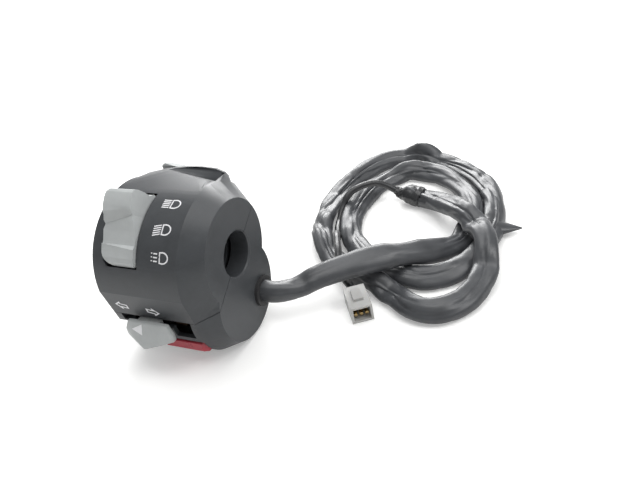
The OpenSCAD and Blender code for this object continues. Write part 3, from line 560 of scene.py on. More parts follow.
@dataclass
class Studio:
    """Floor, lamps and camera.

    Attributes:
        eye: Place of the camera in metres.
        right: Camera's right in the object's axes.
        up: Camera's up in the object's axes.
        back: Direction from the scene to the camera.
        focal_px: Focal length in pixels.
        image_width: Width of the picture in pixels.
        sensor: Width of the camera's sensor in millimetres.
        boxes: The lamps.
        aim: Place that the lamps point at, in metres.
        fill: Strength of the even light from all sides.
        floor_colour: Colour of the floor.
        floor_half: Half width of the floor in metres.
        glow_centre: Place that the floor's glow is measured from, in metres.
        glow: Distance and strength of the glow near the object and far from it.
    """

    eye: Point = (0.19976, -0.2226, 0.17855)
    right: Point = (0.90747, 0.38373, -0.17103)
    up: Point = (-0.08402, 0.56465, 0.82105)
    back: Point = (0.41163, -0.7307, 0.54464)
    focal_px: float = 700.0
    image_width: int = 640
    sensor: float = 36.0
    boxes: tuple[SoftBox, ...] = (
        SoftBox("back_box", (-0.2, 0.68, 0.27), 0.5, 0.24, 5.4),
        SoftBox("top_box", (0.06, 0.1, 0.85), 0.7, 0.7, 4.6),
        SoftBox("right_box", (0.5, 0.1, 0.45), 0.3, 0.15, 1.2),
    )
    aim: Point = (0.05, 0.05, -0.03)
    fill: float = 0.42
    floor_colour: Colour = (0.8, 0.8, 0.79)
    floor_half: float = 3.0
    glow_centre: Point = (0.06, 0.05, TABLE_Z)
    glow: tuple[Pair, Pair] = ((0.09, 0.28), (0.3, 0.8))

    def build(self) -> None:
        """Sets the floor, the lamps, the world and the camera."""
        self.floor()
        self.lamps()
        self.camera()
        bpy.context.scene.view_settings.view_transform = "Standard"

    def floor(self) -> None:
        """Lays the pale floor, which looks white to the camera and in reflections."""
        bm = bmesh.new()
        bmesh.ops.create_grid(bm, x_segments=2, y_segments=2, size=self.floor_half)
        bmesh.ops.translate(bm, verts=bm.verts, vec=(0, 0, TABLE_Z - 0.1 * MM))
        mesh = bpy.data.meshes.new("floor")
        bm.to_mesh(mesh)
        bm.free()
        obj = bpy.data.objects.new("floor", mesh)
        bpy.context.scene.collection.objects.link(obj)
        board = NodeBoard("pale_floor")
        board.put("Base Color", (*self.floor_colour, 1))
        board.put("Roughness", 0.7)
        board.put("Specular IOR Level", 0.2)
        board.put("Emission Color", (1, 1, 1, 1))
        away = board.add("ShaderNodeVectorMath", operation="DISTANCE")
        away.inputs[1].default_value = self.glow_centre
        board.join(board.coords(), "Vector", away, 0)
        (near, least), (far, most) = self.glow
        haze = board.spread(away, least, most, (near, far), "Value")
        path = board.add("ShaderNodeLightPath")
        direct = board.maths("MAXIMUM", (path, "Is Camera Ray"), (path, "Is Glossy Ray"))
        seen = board.maths("MAXIMUM", (direct, 0), (path, "Is Transmission Ray"))
        lift = board.maths("MULTIPLY", (seen, 0), (haze, "Result"))
        board.join(lift, 0, board.shader, "Emission Strength")
        mesh.materials.append(board.material)

    def lamps(self) -> None:
        """Hangs the soft boxes and sets the even fill."""
        world = bpy.data.worlds.new("fill")
        world.use_nodes = True
        sky = world.node_tree.nodes["Background"]
        sky.inputs["Color"].default_value = (1.0, 1.0, 1.0, 1)
        sky.inputs["Strength"].default_value = self.fill
        bpy.context.scene.world = world
        for box in self.boxes:
            lamp = bpy.data.lights.new(box.name, "AREA")
            lamp.shape = "RECTANGLE"
            lamp.size = box.width
            lamp.size_y = box.depth
            lamp.energy = box.watts
            obj = bpy.data.objects.new(box.name, lamp)
            obj.location = box.place
            way = Vector(self.aim) - Vector(box.place)
            obj.rotation_euler = way.to_track_quat("-Z", "Y").to_euler()
            bpy.context.scene.collection.objects.link(obj)

    def camera(self) -> None:
        """Sets the camera at the photograph's view."""
        lens = bpy.data.cameras.new("view")
        lens.sensor_width = self.sensor
        lens.lens = self.focal_px / self.image_width * self.sensor
        lens.clip_start = 0.01
        lens.clip_end = 20
        obj = bpy.data.objects.new("view", lens)
        turn = Matrix((self.right, self.up, self.back)).transposed().to_4x4()
        obj.matrix_world = Matrix.Translation(self.eye) @ turn
        bpy.context.scene.collection.objects.link(obj)
        bpy.context.scene.camera = obj


def catmull(points: Sequence[Vector], step: float) -> list[Vector]:
    """Runs a smooth line through points and cuts it into even steps.

    Args:
        points: Points on the line.
        step: Length of each step in metres.

    Returns:
        Points a step apart, the first and last of them those given.
    """
    ends = [points[0] * 2 - points[1], *points, points[-1] * 2 - points[-2]]
    dense: list[Vector] = []
    cuts = 16
    for k in range(1, len(ends) - 2):
        a, b, c, d = ends[k - 1 : k + 3]
        for j in range(cuts):
            t = j / cuts
            bend = 2 * a - 5 * b + 4 * c - d
            sway = 3 * b - a - 3 * c + d
            dense.append(0.5 * (2 * b + (c - a) * t + bend * t * t + sway * t**3))
    dense.append(points[-1].copy())
    run = [0.0]
    for p, q in zip(dense, dense[1:]):
        run.append(run[-1] + (q - p).length)
    count = max(2, round(run[-1] / step))
    out, k = [], 0
    for i in range(count + 1):
        want = run[-1] * i / count
        while k < len(run) - 2 and run[k + 1] < want:
            k += 1
        share = (want - run[k]) / max(1e-9, run[k + 1] - run[k])
        out.append(dense[k].lerp(dense[k + 1], share))
    return out


def between(keys: Sequence[Pair], at: float) -> float:
    """Reads a table of places and values with a smooth step between its rows.

    Args:
        keys: Rows of place and value, in order of place.
        at: Where to read it.

    Returns:
        The value there.
    """
    if at <= keys[0][0]:
        return keys[0][1]
    for (a, low), (b, high) in zip(keys, keys[1:]):
        if at <= b:
            t = (at - a) / (b - a)
            return low + (high - low) * t * t * (3 - 2 * t)
    return keys[-1][1]


@dataclass
class Ring:
    """One cross-section of a cord.

    Attributes:
        centre: Its centre.
        wide: Its level direction.
        thin: Its upward direction.
        along: Its distance along the cord.
        number: Its running number among the route points, or its share of the cord's length.
        half: Half width and half thickness in millimetres, where it isn't round.
    """

    centre: Vector
    wide: Vector
    thin: Vector
    along: float
    number: float
    half: Pair = (0.0, 0.0)


class Tube:
    """Sweeps cross-sections into one closed tube with a UV map in metres."""

    uv_r: float = 5 * MM

    @staticmethod
    def rings(line: Sequence[Vector]) -> list[Ring]:
        """Sets a level cross-section at each point of a line.

        Args:
            line: Points of the line.

        Returns:
            The cross-sections, numbered from 0 to 1.
        """
        out, along = [], 0.0
        last = len(line) - 1
        for i, point in enumerate(line):
            along += (point - line[i - 1]).length if i else 0.0
            run = (line[min(i + 1, last)] - line[max(i - 1, 0)]).normalized()
            side = run.cross(Vector((0, 0, 1))).normalized()
            out.append(Ring(point, side, side.cross(run), along, i / last))
        return out

    @staticmethod
    def sweep(rings: Sequence[Ring], sides: int, radius: Callable[[Ring, float], float]) -> Shape:
        """Bends a flat grid round the rings and closes its ends.

        Args:
            rings: Cross-sections in order.
            sides: Faces round the tube.
            radius: Distance of the surface from the centre at a ring and angle.

        Returns:
            The closed tube.
        """
        bm = bmesh.new()
        uv = bm.loops.layers.uv.new("along")
        last = len(rings) - 1
        bmesh.ops.create_grid(bm, x_segments=last, y_segments=sides, size=0.5, calc_uvs=True)
        girth = 2 * math.pi * Tube.uv_r
        for face in bm.faces:
            for loop in face.loops:
                x, y, _ = loop.vert.co
                ring = rings[round((x + 0.5) * last)]
                loop[uv].uv = (ring.along, (y + 0.5) * girth)
        for vert in bm.verts:
            ring = rings[round((vert.co.x + 0.5) * last)]
            angle = 2 * math.pi * (round((vert.co.y + 0.5) * sides) % sides) / sides
            out = math.cos(angle) * ring.wide + math.sin(angle) * ring.thin
            vert.co = ring.centre + radius(ring, angle) * out
        bmesh.ops.remove_doubles(bm, verts=bm.verts, dist=0.0005 * MM)
        rims = [edge for edge in bm.edges if edge.is_boundary]
        bmesh.ops.holes_fill(bm, edges=rims, sides=0)
        bmesh.ops.recalc_face_normals(bm, faces=bm.faces)
        return bm


@dataclass
class Loom:
    """The sleeved loom, its wound tape, its thin tail and the connector.

    Attributes:
        inside: First points of the lead, through the bush, in millimetres.
        lead: Rest of the lead: X, Y and lift over a strand that lies on the table, in millimetres.
        coil: The coil, given in the same way.
        tail: The thin tail: X, Y and height over the table, in millimetres.
        round_r: Radius of the round sleeve in the bush.
        sleeve_d: Mean width of the flattened sleeve; not used.
        tail_r: Radius of the taped tail.
        step: Distance between cross-sections of the sleeve.
        tail_step: Distance between cross-sections of the tail.
        knot_step: Distance between cross-sections of the knot.
        own_run: Length of a point's own strand that isn't counted as a neighbour.
        clearance: Height of a lying strand's lowest point over the table.
        girth_r: Radius in millimetres of the round sleeve with the same girth as the flattened one.
        corner: Power of the flattened section, where 2 is an ellipse.
        overlap: How far in millimetres a strand may press into its neighbour.
        widths: Half width in millimetres along the route.
        twists: Turn in degrees of the flat side along the route.
        crumple: How strongly the sleeve is creased along the route.
        puff: Least half thickness in millimetres along the route.
        flatten: How far the sleeve is let down on the table along the route.
        sag: Share of a strand's lift that is left along the route.
        swell: Where the folds begin along the route.
        ridges: How far the wires show through along the route.
        wires: Angle, wander per millimetre and height of the wires that show through.
        tail_lap: Length of one turn of tape on the tail.
        knot_lap: Length of one turn of tape on the knot.
        knot_reach: How far the knot covers the sleeve and the tail.
        knot_r: Radius in millimetres of the knot along its length.
        flap: Base and tip of the flap in millimetres.
        flap_r: Half width of the flap at its base and its tip.
        flap_length: Length of the flap.
        rings: Cross-sections of the sleeve, once it is made.
        tail_rings: Cross-sections of the tail, once it is made.
    """

    inside: tuple[Point, ...] = ((22.0, 11.5, -31), (29, 11.5, -31), (36, 12.5, -31))
    lead: tuple[Point, ...] = (
        (44, 16.5, 12), (54, 24, 14.5), (64, 32, 15.5), (74, 40, 15.5), (84, 48.5, 13.5),
        (94, 58, 9.6), (102, 67, 4.5), (108, 77, 1), (113, 87, 0),
    )
    coil: tuple[Point, ...] = (
        (113, 98, 0), (113, 109, 0), (110, 124, 0), (102, 138, 0), (91, 149, 0), (78, 156, 0),
        (64, 157, 0), (53, 150, 0), (46, 139, 0), (43, 125, 0), (42.5, 110, 0), (45, 95, 0),
        (51, 80, 0), (60, 68.5, 0), (71, 59, 0), (82, 52.5, 0), (94, 49.5, 0), (105, 51, 0),
        (114, 57, 0), (120, 66, 0), (124.5, 77, 0), (126.5, 92, 0), (126, 108, 0), (122, 126, 0),
        (114, 143, 0), (104, 156, 0), (92, 166, 0), (78, 172, 0), (63, 176, 0), (49, 174, 0),
        (38, 165, 0), (30, 150, 0), (25.5, 132, 0), (24.5, 112, 0), (28, 90, 0), (36, 73, 0),
        (46, 61, 0), (57, 52, 0), (69, 44.5, 0), (80.5, 39.5, 0), (91, 34, 0), (100, 27.5, 0),
        (109, 24.5, 0), (118, 27, 0), (125.5, 35, 0), (130, 47, 1), (131.5, 60, 5.5),
        (129.5, 73, 10.5), (124, 84, 12), (116, 94, 12.5), (107, 103, 11.5), (98, 112, 7.5),
        (90, 119, 3), (80, 125, 0), (70, 128, 0),
    )
    tail: tuple[Point, ...] = (
        (70, 128, 5.5), (64, 129.8, 5.5), (57, 129, 10), (50, 125.5, 14.2), (42, 119, 14.6),
        (36.5, 113, 12), (34.4, 107, 6.5), (34.6, 100, 2.4), (36.8, 91, 2.2), (41, 81, 2.8),
        (43.6, 75.8, 8.5), (46.5, 69.5, 13.6), (50, 61.5, 14.6), (54, 53, 14.4), (57, 45.5, 11.5),
        (61.5, 39.5, 7.5), (67.8, 34.8, 4.75), (70, 31.5, 4.75),
    )
    round_r: float = 5.5 * MM
    sleeve_d: float = 14.5 * MM
    tail_r: float = 2.0 * MM
    step: float = 1.5 * MM
    tail_step: float = 1.2 * MM
    knot_step: float = 0.9 * MM
    own_run: float = 34 * MM
    clearance: float = 0.2 * MM
    girth_r: float = 5.7
    corner: float = 2.15
    overlap: float = 0.6
    widths: Rows = (
        (1.2, 5.5), (2.4, 6.0), (4, 7.2), (8, 7.7), (11, 7.2), (14, 6.6), (18, 7.2), (21, 7.5), (24, 7.0),
        (28, 7.4), (33, 7.0), (36, 6.8), (39, 7.6), (40, 8.0), (41.5, 7.0), (44, 7.6), (46, 6.6), (48, 7.6),
        (50.4, 7.9), (53, 7.0), (57, 7.2), (59.5, 7.9), (62, 7.2), (64.5, 6.2), (66, 5.4),
    )
    twists: Rows = (
        (2, 0), (4.5, -30), (9, -34), (11, -12), (13, -22), (15, 6), (17, 28), (18.2, 52), (19.2, 12),
        (21, 38), (23.6, 22), (24.6, -8), (26, -32), (30, -28), (32.5, -6), (34, -34), (36.5, 10), (39, 24),
        (39.9, 78), (40.8, 30), (43, 34), (45, 12), (45.8, -24), (46.8, 34), (48.6, -12), (50.3, -72),
        (51.8, -20), (54, -34), (57, -26), (58.6, 8), (59.8, 4), (61.5, 30), (64, 16), (66, 0),
    )
    crumple: Rows = (
        (0, 0), (1.4, 0.5), (3, 0.4), (5, 0.15), (9, 0.2), (11, 0.7), (14, 0.6), (17, 0.8), (20, 0.9),
        (24, 0.9), (27, 0.5), (31, 0.4), (34, 0.8), (36, 1.0), (39, 0.9), (42, 0.6), (45, 1.0), (48, 0.9),
        (51, 0.8), (54, 0.5), (58, 0.4), (61, 0.8), (66, 1.0),
    )
    puff: Rows = ((2, 2.4), (4, 4.5), (9, 4.5), (12, 3.0), (66, 3.0))
    flatten: Rows = ((1.2, 0), (3.2, 1))
    sag: Rows = ((8, 0.88), (20, 0.8))
    swell: Rows = ((0.9, 0), (2.2, 1))
    ridges: Rows = ((2, 0.4), (4, 0.05), (9, 0.05), (12, 0.22))
    wires: tuple[Point, ...] = ((1.2, 0.021, 0.8), (2.3, 0.016, 0.6), (4.5, 0.027, 0.7))
    tail_lap: float = 7 * MM
    knot_lap: float = 5.5 * MM
    knot_reach: Pair = (11 * MM, 12 * MM)
    knot_r: Rows = ((0, 5.9), (0.12, 6.6), (0.45, 6.3), (0.72, 3.9), (1, 2.5))
    flap: tuple[Point, Point] = ((127.5, 101, -43.2), (141.5, 104, -44))
    flap_r: Pair = (7.4 * MM, 0.6 * MM)
    flap_length: float = 15 * MM
    rings: list[Ring] = field(default_factory=list)
    tail_rings: list[Ring] = field(default_factory=list)

    def build(self) -> None:
        """Makes the sleeve, the tail, the tape and dresses the connector."""
        sleeve = self.sleeve()
        tail = self.taped_tail()
        knot = self.tape_knot()
        plug = self.connector()
        flap = self.pinched_flap()

    def sleeve(self) -> Piece:
        """Makes the flattened sleeve of the lead and the coil in one piece.

        Returns:
            The sleeve.
        """
        table = TABLE_Z + self.round_r
        route = [Vector(p) * MM for p in self.inside]
        route += [Vector((x * MM, y * MM, table + lift * MM)) for x, y, lift in self.lead + self.coil]
        line = catmull(route, self.step)
        for ring, number, near in zip(Tube.rings(line), self.numbers(route, line), self.room(line)):
            point, side, up = ring.centre, ring.wide, ring.thin
            turn = math.radians(between(self.twists, number))
            a = min(between(self.widths, number), near / MM / 2 + self.overlap)
            b = max(between(self.puff, number), math.sqrt(max(0.0, 2 * self.girth_r**2 - a * a)))
            tall = math.hypot(a * math.sin(turn), b * math.cos(turn)) * MM
            lift = point.z - table
            level = TABLE_Z + tall + self.clearance + lift * between(self.sag, number)
            drop = (level - point.z) * between(self.flatten, number)
            wide = math.cos(turn) * side + math.sin(turn) * up
            thin = math.cos(turn) * up - math.sin(turn) * side
            self.rings.append(Ring(point + Vector((0, 0, drop)), wide, thin, ring.along, number, (a, b)))
        bm = Tube.sweep(self.rings, 40, self.sleeve_radius)
        return Bench.place("loom_sleeve", bm, SLEEVE, Body.CASE, ("loom_lead", "loom_coil"), 60)

    def sleeve_radius(self, ring: Ring, angle: float) -> float:
        """Gives the creased sleeve's distance from its centre.

        Args:
            ring: The cross-section.
            angle: Angle round it.

        Returns:
            The distance in metres.
        """
        a, b = ring.half
        c, s = math.cos(angle), math.sin(angle)
        base = (abs(c / a) ** self.corner + abs(s / b) ** self.corner) ** (-1 / self.corner)
        rough = between(self.crumple, ring.number)
        run = ring.along / MM
        wires = 0.0
        for k, (lean, wander, reach) in enumerate(self.wires):
            place = lean + 0.7 * math.sin(run * wander + k * 2.1)
            gap = (angle - place + math.pi) % (2 * math.pi) - math.pi
            wires += reach * math.exp(-((gap / 0.3) ** 2))
        soft = noise.noise(Vector((run / 26, c * 0.8, s * 0.8)))
        fold = 1 - abs(noise.noise(Vector((run / 46 + 40, c * 1.1, s * 1.1))))
        kink = 1 - abs(noise.noise(Vector((run / 15 + 90, c * 0.5, s * 0.5))))
        dent = 0.7 * soft + rough * (0.5 - 1.3 * fold**4 - 0.8 * kink**6)
        ridge = between(self.ridges, ring.number) * wires
        return (base + between(self.swell, ring.number) * (ridge - 0.3 + dent)) * MM

    @staticmethod
    def numbers(route: Sequence[Vector], line: Sequence[Vector]) -> list[float]:
        """Finds the place of each point of a line among the route points.

        Args:
            route: The route points.
            line: Points of the smooth line through them.

        Returns:
            A running number for each point of the line.
        """
        out, k = [], 0
        for p in line:
            while k < len(route) - 2 and (p - route[k + 1]).dot(route[k + 2] - route[k]) > 0:
                k += 1
            step = route[k + 1] - route[k]
            share = (p - route[k]).dot(step) / step.length_squared
            out.append(k + min(1.0, max(0.0, share)))
        return out

    def room(self, line: Sequence[Vector]) -> list[float]:
        """Measures the room between strands.

        Args:
            line: Points of the sleeve's line.

        Returns:
            The distance from each point to the nearest other strand.
        """
        skip = int(self.own_run / self.step)
        out = []
        for i, p in enumerate(line):
            others = (q for j, q in enumerate(line) if abs(i - j) > skip)
            out.append(min((p - q).length for q in others))
        return out

    def taped_tail(self) -> Piece:
        """Makes the thin taped tail between the sleeve and the connector.

        Returns:
            The tail.
        """
        route = [Vector((x * MM, y * MM, TABLE_Z + h * MM)) for x, y, h in self.tail]
        self.tail_rings = Tube.rings(catmull(route, self.tail_step))
        bm = Tube.sweep(self.tail_rings, 20, self.tail_radius)
        return Bench.place("loom_tail_taped", bm, TAPE, Body.CASE, ("loom_tail",), 50)

    def tail_radius(self, ring: Ring, angle: float) -> float:
        """Gives the taped tail's radius, with the step of each turn of tape.

        Args:
            ring: The cross-section.
            angle: Angle round it.

        Returns:
            The radius in metres.
        """
        turn = (ring.along / self.tail_lap + angle / (2 * math.pi)) % 1.0
        lump = noise.noise(Vector((ring.along / MM / 5, math.cos(angle), math.sin(angle))))
        return self.tail_r * (0.97 + 0.06 * turn + 0.07 * lump)

    def tape_knot(self) -> Piece:
        """Makes the tape wound over the sleeve's end and the start of the tail.

        Returns:
            The wound tape.
        """
        over_sleeve, over_tail = self.knot_reach
        end = self.rings[-1].along
        start = self.tail_rings[0].centre
        line = [ring.centre for ring in self.rings if end - ring.along < over_sleeve]
        line += [ring.centre for ring in self.tail_rings[1:] if (ring.centre - start).length < over_tail]
        rings = Tube.rings(catmull(line[::3], self.knot_step))
        bm = Tube.sweep(rings, 32, self.knot_radius)
        return Bench.place("tape_knot", bm, TAPE, Body.CASE, (), 50)

    def knot_radius(self, ring: Ring, angle: float) -> float:
        """Gives the wound tape's radius, with its overlaps and puckers.

        Args:
            ring: The cross-section.
            angle: Angle round it.

        Returns:
            The radius in metres.
        """
        turn = (ring.along / self.knot_lap + angle / (2 * math.pi)) % 1.0
        run = ring.along / MM
        pucker = 1 - abs(noise.noise(Vector((run / 3.2, math.cos(angle) * 2, math.sin(angle) * 2))))
        flat = 1 - 0.12 * abs(math.sin(angle))
        return (between(self.knot_r, ring.number) * flat + 0.35 * turn - 0.9 * pucker**5 + 0.3) * MM

    def pinched_flap(self) -> Piece:
        """Makes the pointed flap of sleeve that stands out at the right of the coil.

        Returns:
            The flap.
        """
        bm = bmesh.new()
        uv = bm.loops.layers.uv.new("along")
        wide, narrow = self.flap_r
        bmesh.ops.create_cone(
            bm, cap_ends=True, segments=24, radius1=wide, radius2=narrow, depth=self.flap_length
        )
        for face in bm.faces:
            for loop in face.loops:
                loop[uv].uv = (loop.vert.co.z, loop.vert.co.x)
        bmesh.ops.scale(bm, verts=bm.verts, vec=(1, 0.5, 1))
        base, tip = (Vector(p) * MM for p in self.flap)
        turn = (tip - base).to_track_quat("Z", "Y").to_matrix().to_4x4()
        bmesh.ops.transform(bm, verts=bm.verts, matrix=Matrix.Translation((base + tip) / 2) @ turn)
        return Bench.place("sleeve_flap", bm, SLEEVE, Body.CASE, (), 50)

    def connector(self) -> Piece:
        """Dresses the connector housing with rounded edges.

        Returns:
            The housing.
        """
        bm = Bench.solid("plug_housing")
        plug = Bench.place("plug_shell", bm, NYLON, Body.CASE, ("plug_housing",), 30)
        Bench.soften(plug, 0.45 * MM)
        return plug


@dataclass
class FaceMap:
    """Carries flat drawings on to the case: a round face or a flat facet.

    Attributes:
        centre: Centre of the drawing in millimetres, at the surface.
        up: Direction of the drawing's top on the surface, in Y and Z.
        bend: Radius of the surface in millimetres, or 0 for a flat facet.
    """

    centre: Point
    up: Pair
    bend: float = 0.0

    def at(self, u: float, v: float, lift: float) -> Vector:
        """Gives the place of a drawing's point.

        Args:
            u: Millimetres to the right, along X.
            v: Millimetres up the surface.
            lift: Millimetres outward.

        Returns:
            The point in metres.
        """
        x, y, z = self.centre
        uy, uz = self.up
        ny, nz = -uz, uy
        if self.bend:
            turn = v / self.bend
            rise = (self.bend + lift) * math.sin(turn)
            out = (self.bend + lift) * math.cos(turn) - self.bend
        else:
            rise, out = v, lift
        return Vector((x + u, y + uy * rise + ny * out, z + uz * rise + nz * out)) * MM


class Drop:
    """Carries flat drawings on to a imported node, straight away from the rider."""

    start_y: float = -90.0

    def __init__(self, node: str) -> None:
        """Reads the node's shape.

        Args:
            node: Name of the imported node.
        """
        bm = Bench.solid(node)
        self.tree = BVHTree.FromBMesh(bm)
        bm.free()

    def at(self, u: float, v: float, lift: float) -> Vector:
        """Gives the place of a drawing's point.

        Args:
            u: Place along X in millimetres.
            v: Height in millimetres.
            lift: Millimetres outward.

        Returns:
            The point in metres.
        """
        place, normal, _, _ = self.tree.ray_cast(Vector((u, self.start_y, v)) * MM, Vector((0, 1, 0)))
        return place + normal * lift * MM


class Mark:
    """A flat white drawing that becomes a thin raised print."""

    bed: float = -0.15

    def __init__(self) -> None:
        """Starts an empty drawing."""
        self.bm = bmesh.new()

    def patch(self, points: Iterable[Pair]) -> bmesh.types.BMFace:
        """Adds a filled outline.

        Args:
            points: Corners in millimetres.

        Returns:
            The face.
        """
        return self.bm.faces.new([self.bm.verts.new((u, v, 0)) for u, v in points])

    def outline(self, points: Iterable[Pair], width: float) -> None:
        """Adds a closed line of one width.

        Args:
            points: Corners of its outer edge in millimetres.
            width: Width of the line in millimetres.
        """
        face = self.patch(points)
        self.bm.normal_update()
        bmesh.ops.inset_region(
            self.bm, faces=[face], thickness=width, use_boundary=True, use_even_offset=True
        )
        bmesh.ops.delete(self.bm, geom=[face], context="FACES_ONLY")

    def bar(self, start: Pair, end: Pair, width: float) -> None:
        """Adds a straight bar with square ends.

        Args:
            start: One end in millimetres.
            end: The other end.
            width: Width of the bar.
        """
        run = Vector((end[0] - start[0], end[1] - start[1])).normalized() * (width / 2)
        side = (-run.y, run.x)
        self.patch((
            (start[0] - side[0], start[1] - side[1]), (end[0] - side[0], end[1] - side[1]),
            (end[0] + side[0], end[1] + side[1]), (start[0] + side[0], start[1] + side[1]),
        ))

    def printed(self, name: str, surface: FaceMap | Drop, body: Body, lift: float = 0.07) -> Piece:
        """Carries the drawing on to its surface as a thin print.

        Args:
            name: Name of the piece.
            surface: Where it lies.
            body: Body that carries it.
            lift: How far the print stands out, in millimetres.

        Returns:
            The print.
        """
        bmesh.ops.recalc_face_normals(self.bm, faces=self.bm.faces)
        top = bmesh.ops.extrude_face_region(self.bm, geom=self.bm.faces[:])["geom"]
        raised = {item for item in top if isinstance(item, bmesh.types.BMVert)}
        for vert in self.bm.verts:
            u, v, _ = vert.co
            vert.co = surface.at(u, v, lift if vert in raised else self.bed)
        bmesh.ops.recalc_face_normals(self.bm, faces=self.bm.faces)
        if self.bm.calc_volume(signed=True) < 0:
            bmesh.ops.reverse_faces(self.bm, faces=self.bm.faces)
        return Bench.place(name, self.bm, MARK_WHITE, body, (), 30)


def lamp_bowl(x: float, half: float, length: float) -> list[Pair]:
    """Gives the outline of a headlamp: a flat lens on the left and a round bowl on the right.

    Args:
        x: Left edge in millimetres.
        half: Half height.
        length: Length to the right.

    Returns:
        Corners of the outline.
    """
    lens, straight, steps = 0.92 * half, 0.35 * length, 12
    points = [(x, -lens), (x, lens)]
    for k in range(steps + 1):
        turn = math.pi * (0.5 - k / steps)
        points.append((x + straight + (length - straight) * math.cos(turn), half * math.sin(turn)))
    return points


@dataclass
class Case:
    """The two case halves and the white marks on them.

    Attributes:
        face_r: Radius of the round rider face, in millimetres.
        facet: Upper and lower edges of the flat facet under it, in Y and Z.
        rounding: Width of the edge rounding in metres.
        step: Foot of the low wall in front of the crest, in millimetres.
        step_slope: Fall of the crest along X, in degrees.
        step_lean: How far the wall leans back for each millimetre of height, and at most.
        step_toe: Height at which the wall's foot begins to run out, and the run and rise of its toe.
        collar: Near and far end in X, inner and outer radius of the wall in the bore, in millimetres.
        window_x: Outboard side of the light window.
        window_depth: How far the window's rounded corners lie under the face, at their top and their bottom.
        corners: Centre (X and height on the face), radius and end height of the window's rounded corners.
        line: Width of the lamp bowls' lines, in millimetres.
        arrow: Corners of the right arrow, in millimetres.
        arrow_slant: Fall of the arrows along X.
        arrow_line: Width of their lines.
    """

    face_r: float = 36.5
    facet: tuple[Pair, Pair] = ((-34.5, -4.0), (-29.8, -25.0))
    rounding: float = 0.8 * MM
    step: Point = (12, 21.0, 27.16)
    step_slope: float = 10.0
    step_lean: Pair = (0.8, 2.6)
    step_toe: Point = (31.8, 0.45, 0.61)
    collar: Four = (26.5, 18.4, 11.3, 13.2)
    window_x: float = -23.0
    window_depth: Pair = (0.03, 2.3)
    corners: tuple[Four, ...] = ((-16.0, -11.4, 8.4, -18.3), (-16.5, 11.6, 7.9, 18.1))
    line: float = 0.62
    arrow: Rows = ((-3.5, -1.5), (0.1, -1.5), (0.1, -3.0), (3.6, 0), (0.1, 3.0), (0.1, 1.5), (-3.5, 1.5))
    arrow_slant: float = 0.17
    arrow_line: float = 0.75

    def build(self) -> None:
        """Makes the shells and the marks."""
        for node, name in (("upper_case", "case_upper_shell"), ("lower_case", "case_lower_shell")):
            bm = Bench.solid(node)
            self.lean_step(bm)
            shell = Bench.place(name, bm, CASE_PLASTIC, Body.CASE, (node,), 32)
            Bench.soften(shell, self.rounding, 28.0, hollow=False)
        self.window_corners()
        self.bore_collar()
        self.lamp_marks()
        self.arrow_marks()

    def lean_step(self, bm: Shape) -> None:
        """Leans the low wall in front of the crest backward and runs out its foot.

        Args:
            bm: Shape of a case half.
        """
        x0, y0, z0 = self.step
        lean, most = self.step_lean
        toe_z, toe_run, toe_rise = self.step_toe
        for vert in bm.verts:
            x, y, z = vert.co / MM
            rise = z - z0 + (x - x0) * math.tan(math.radians(self.step_slope))
            if abs(y - y0) > 0.03 or z < z0 - 2:
                continue
            if rise > 0.25:
                vert.co.y += min(most, lean * rise) * MM
            else:
                back = toe_run * max(0.0, toe_z - z)
                vert.co += Vector((0, -back, toe_rise * back)) * MM

    def window_corners(self) -> None:
        """Rounds the outboard corners of the light window along the knob's own corners."""
        bm = bmesh.new()
        top, bottom = (self.face_r - depth for depth in self.window_depth)
        for x, v, r, end in self.corners:
            way = math.copysign(1, v)
            first = math.acos((self.window_x - x) / r)
            last = math.pi - math.acos(math.sqrt(r * r - (end - v) ** 2) / r)
            flat = [(self.window_x - 0.2, end + 0.2 * way)]
            for k in range(9):
                turn = first + (last - first) * k / 8
                flat.append((x + r * math.cos(turn), v + way * r * math.sin(turn)))
            face = bm.faces.new([bm.verts.new((*p, top)) for p in flat])
            for item in bmesh.ops.extrude_face_region(bm, geom=[face])["geom"]:
                if isinstance(item, bmesh.types.BMVert):
                    item.co.z = bottom
        for vert in bm.verts:
            u, v, r = vert.co
            out = math.sqrt(r * r - v * v)
            vert.co = (FACE_CENTRE + Vector((u, 0, 0)) + FACE_OUT * out + FACE_UP * v) * MM
        bmesh.ops.recalc_face_normals(bm, faces=bm.faces)
        Bench.place("case_window_corners", bm, CASE_PLASTIC, Body.CASE, (), 30)

    def bore_collar(self) -> None:
        """Turns the wall that lines the inboard end of the bar bore."""
        bm = bmesh.new()
        near, far, inner, outer = self.collar
        section = ((near, inner), (far, inner), (far, outer), (near, outer))
        rim = [bm.verts.new(Vector((x, 0, r)) * MM) for x, r in section]
        edges = [bm.edges.new((a, b)) for a, b in zip(rim, rim[1:] + rim[:1])]
        bmesh.ops.spin(bm, geom=[*rim, *edges], axis=(1, 0, 0), angle=2 * math.pi, steps=72, use_merge=True)
        bmesh.ops.remove_doubles(bm, verts=bm.verts, dist=0.001 * MM)
        bmesh.ops.recalc_face_normals(bm, faces=bm.faces)
        Bench.place("case_bore_collar", bm, CASE_PLASTIC, Body.CASE, (), 30)

    def on_face(self, x: float, angle: float) -> FaceMap:
        """Finds the place of a drawing on the round face.

        Args:
            x: Its centre along X, in millimetres.
            angle: Angle in degrees from straight back.

        Returns:
            The place.
        """
        turn = math.radians(angle)
        _, y, z = FACE_CENTRE
        place = (x, y + self.face_r * math.cos(turn), z + self.face_r * math.sin(turn))
        return FaceMap(place, (math.sin(turn), -math.cos(turn)), self.face_r)

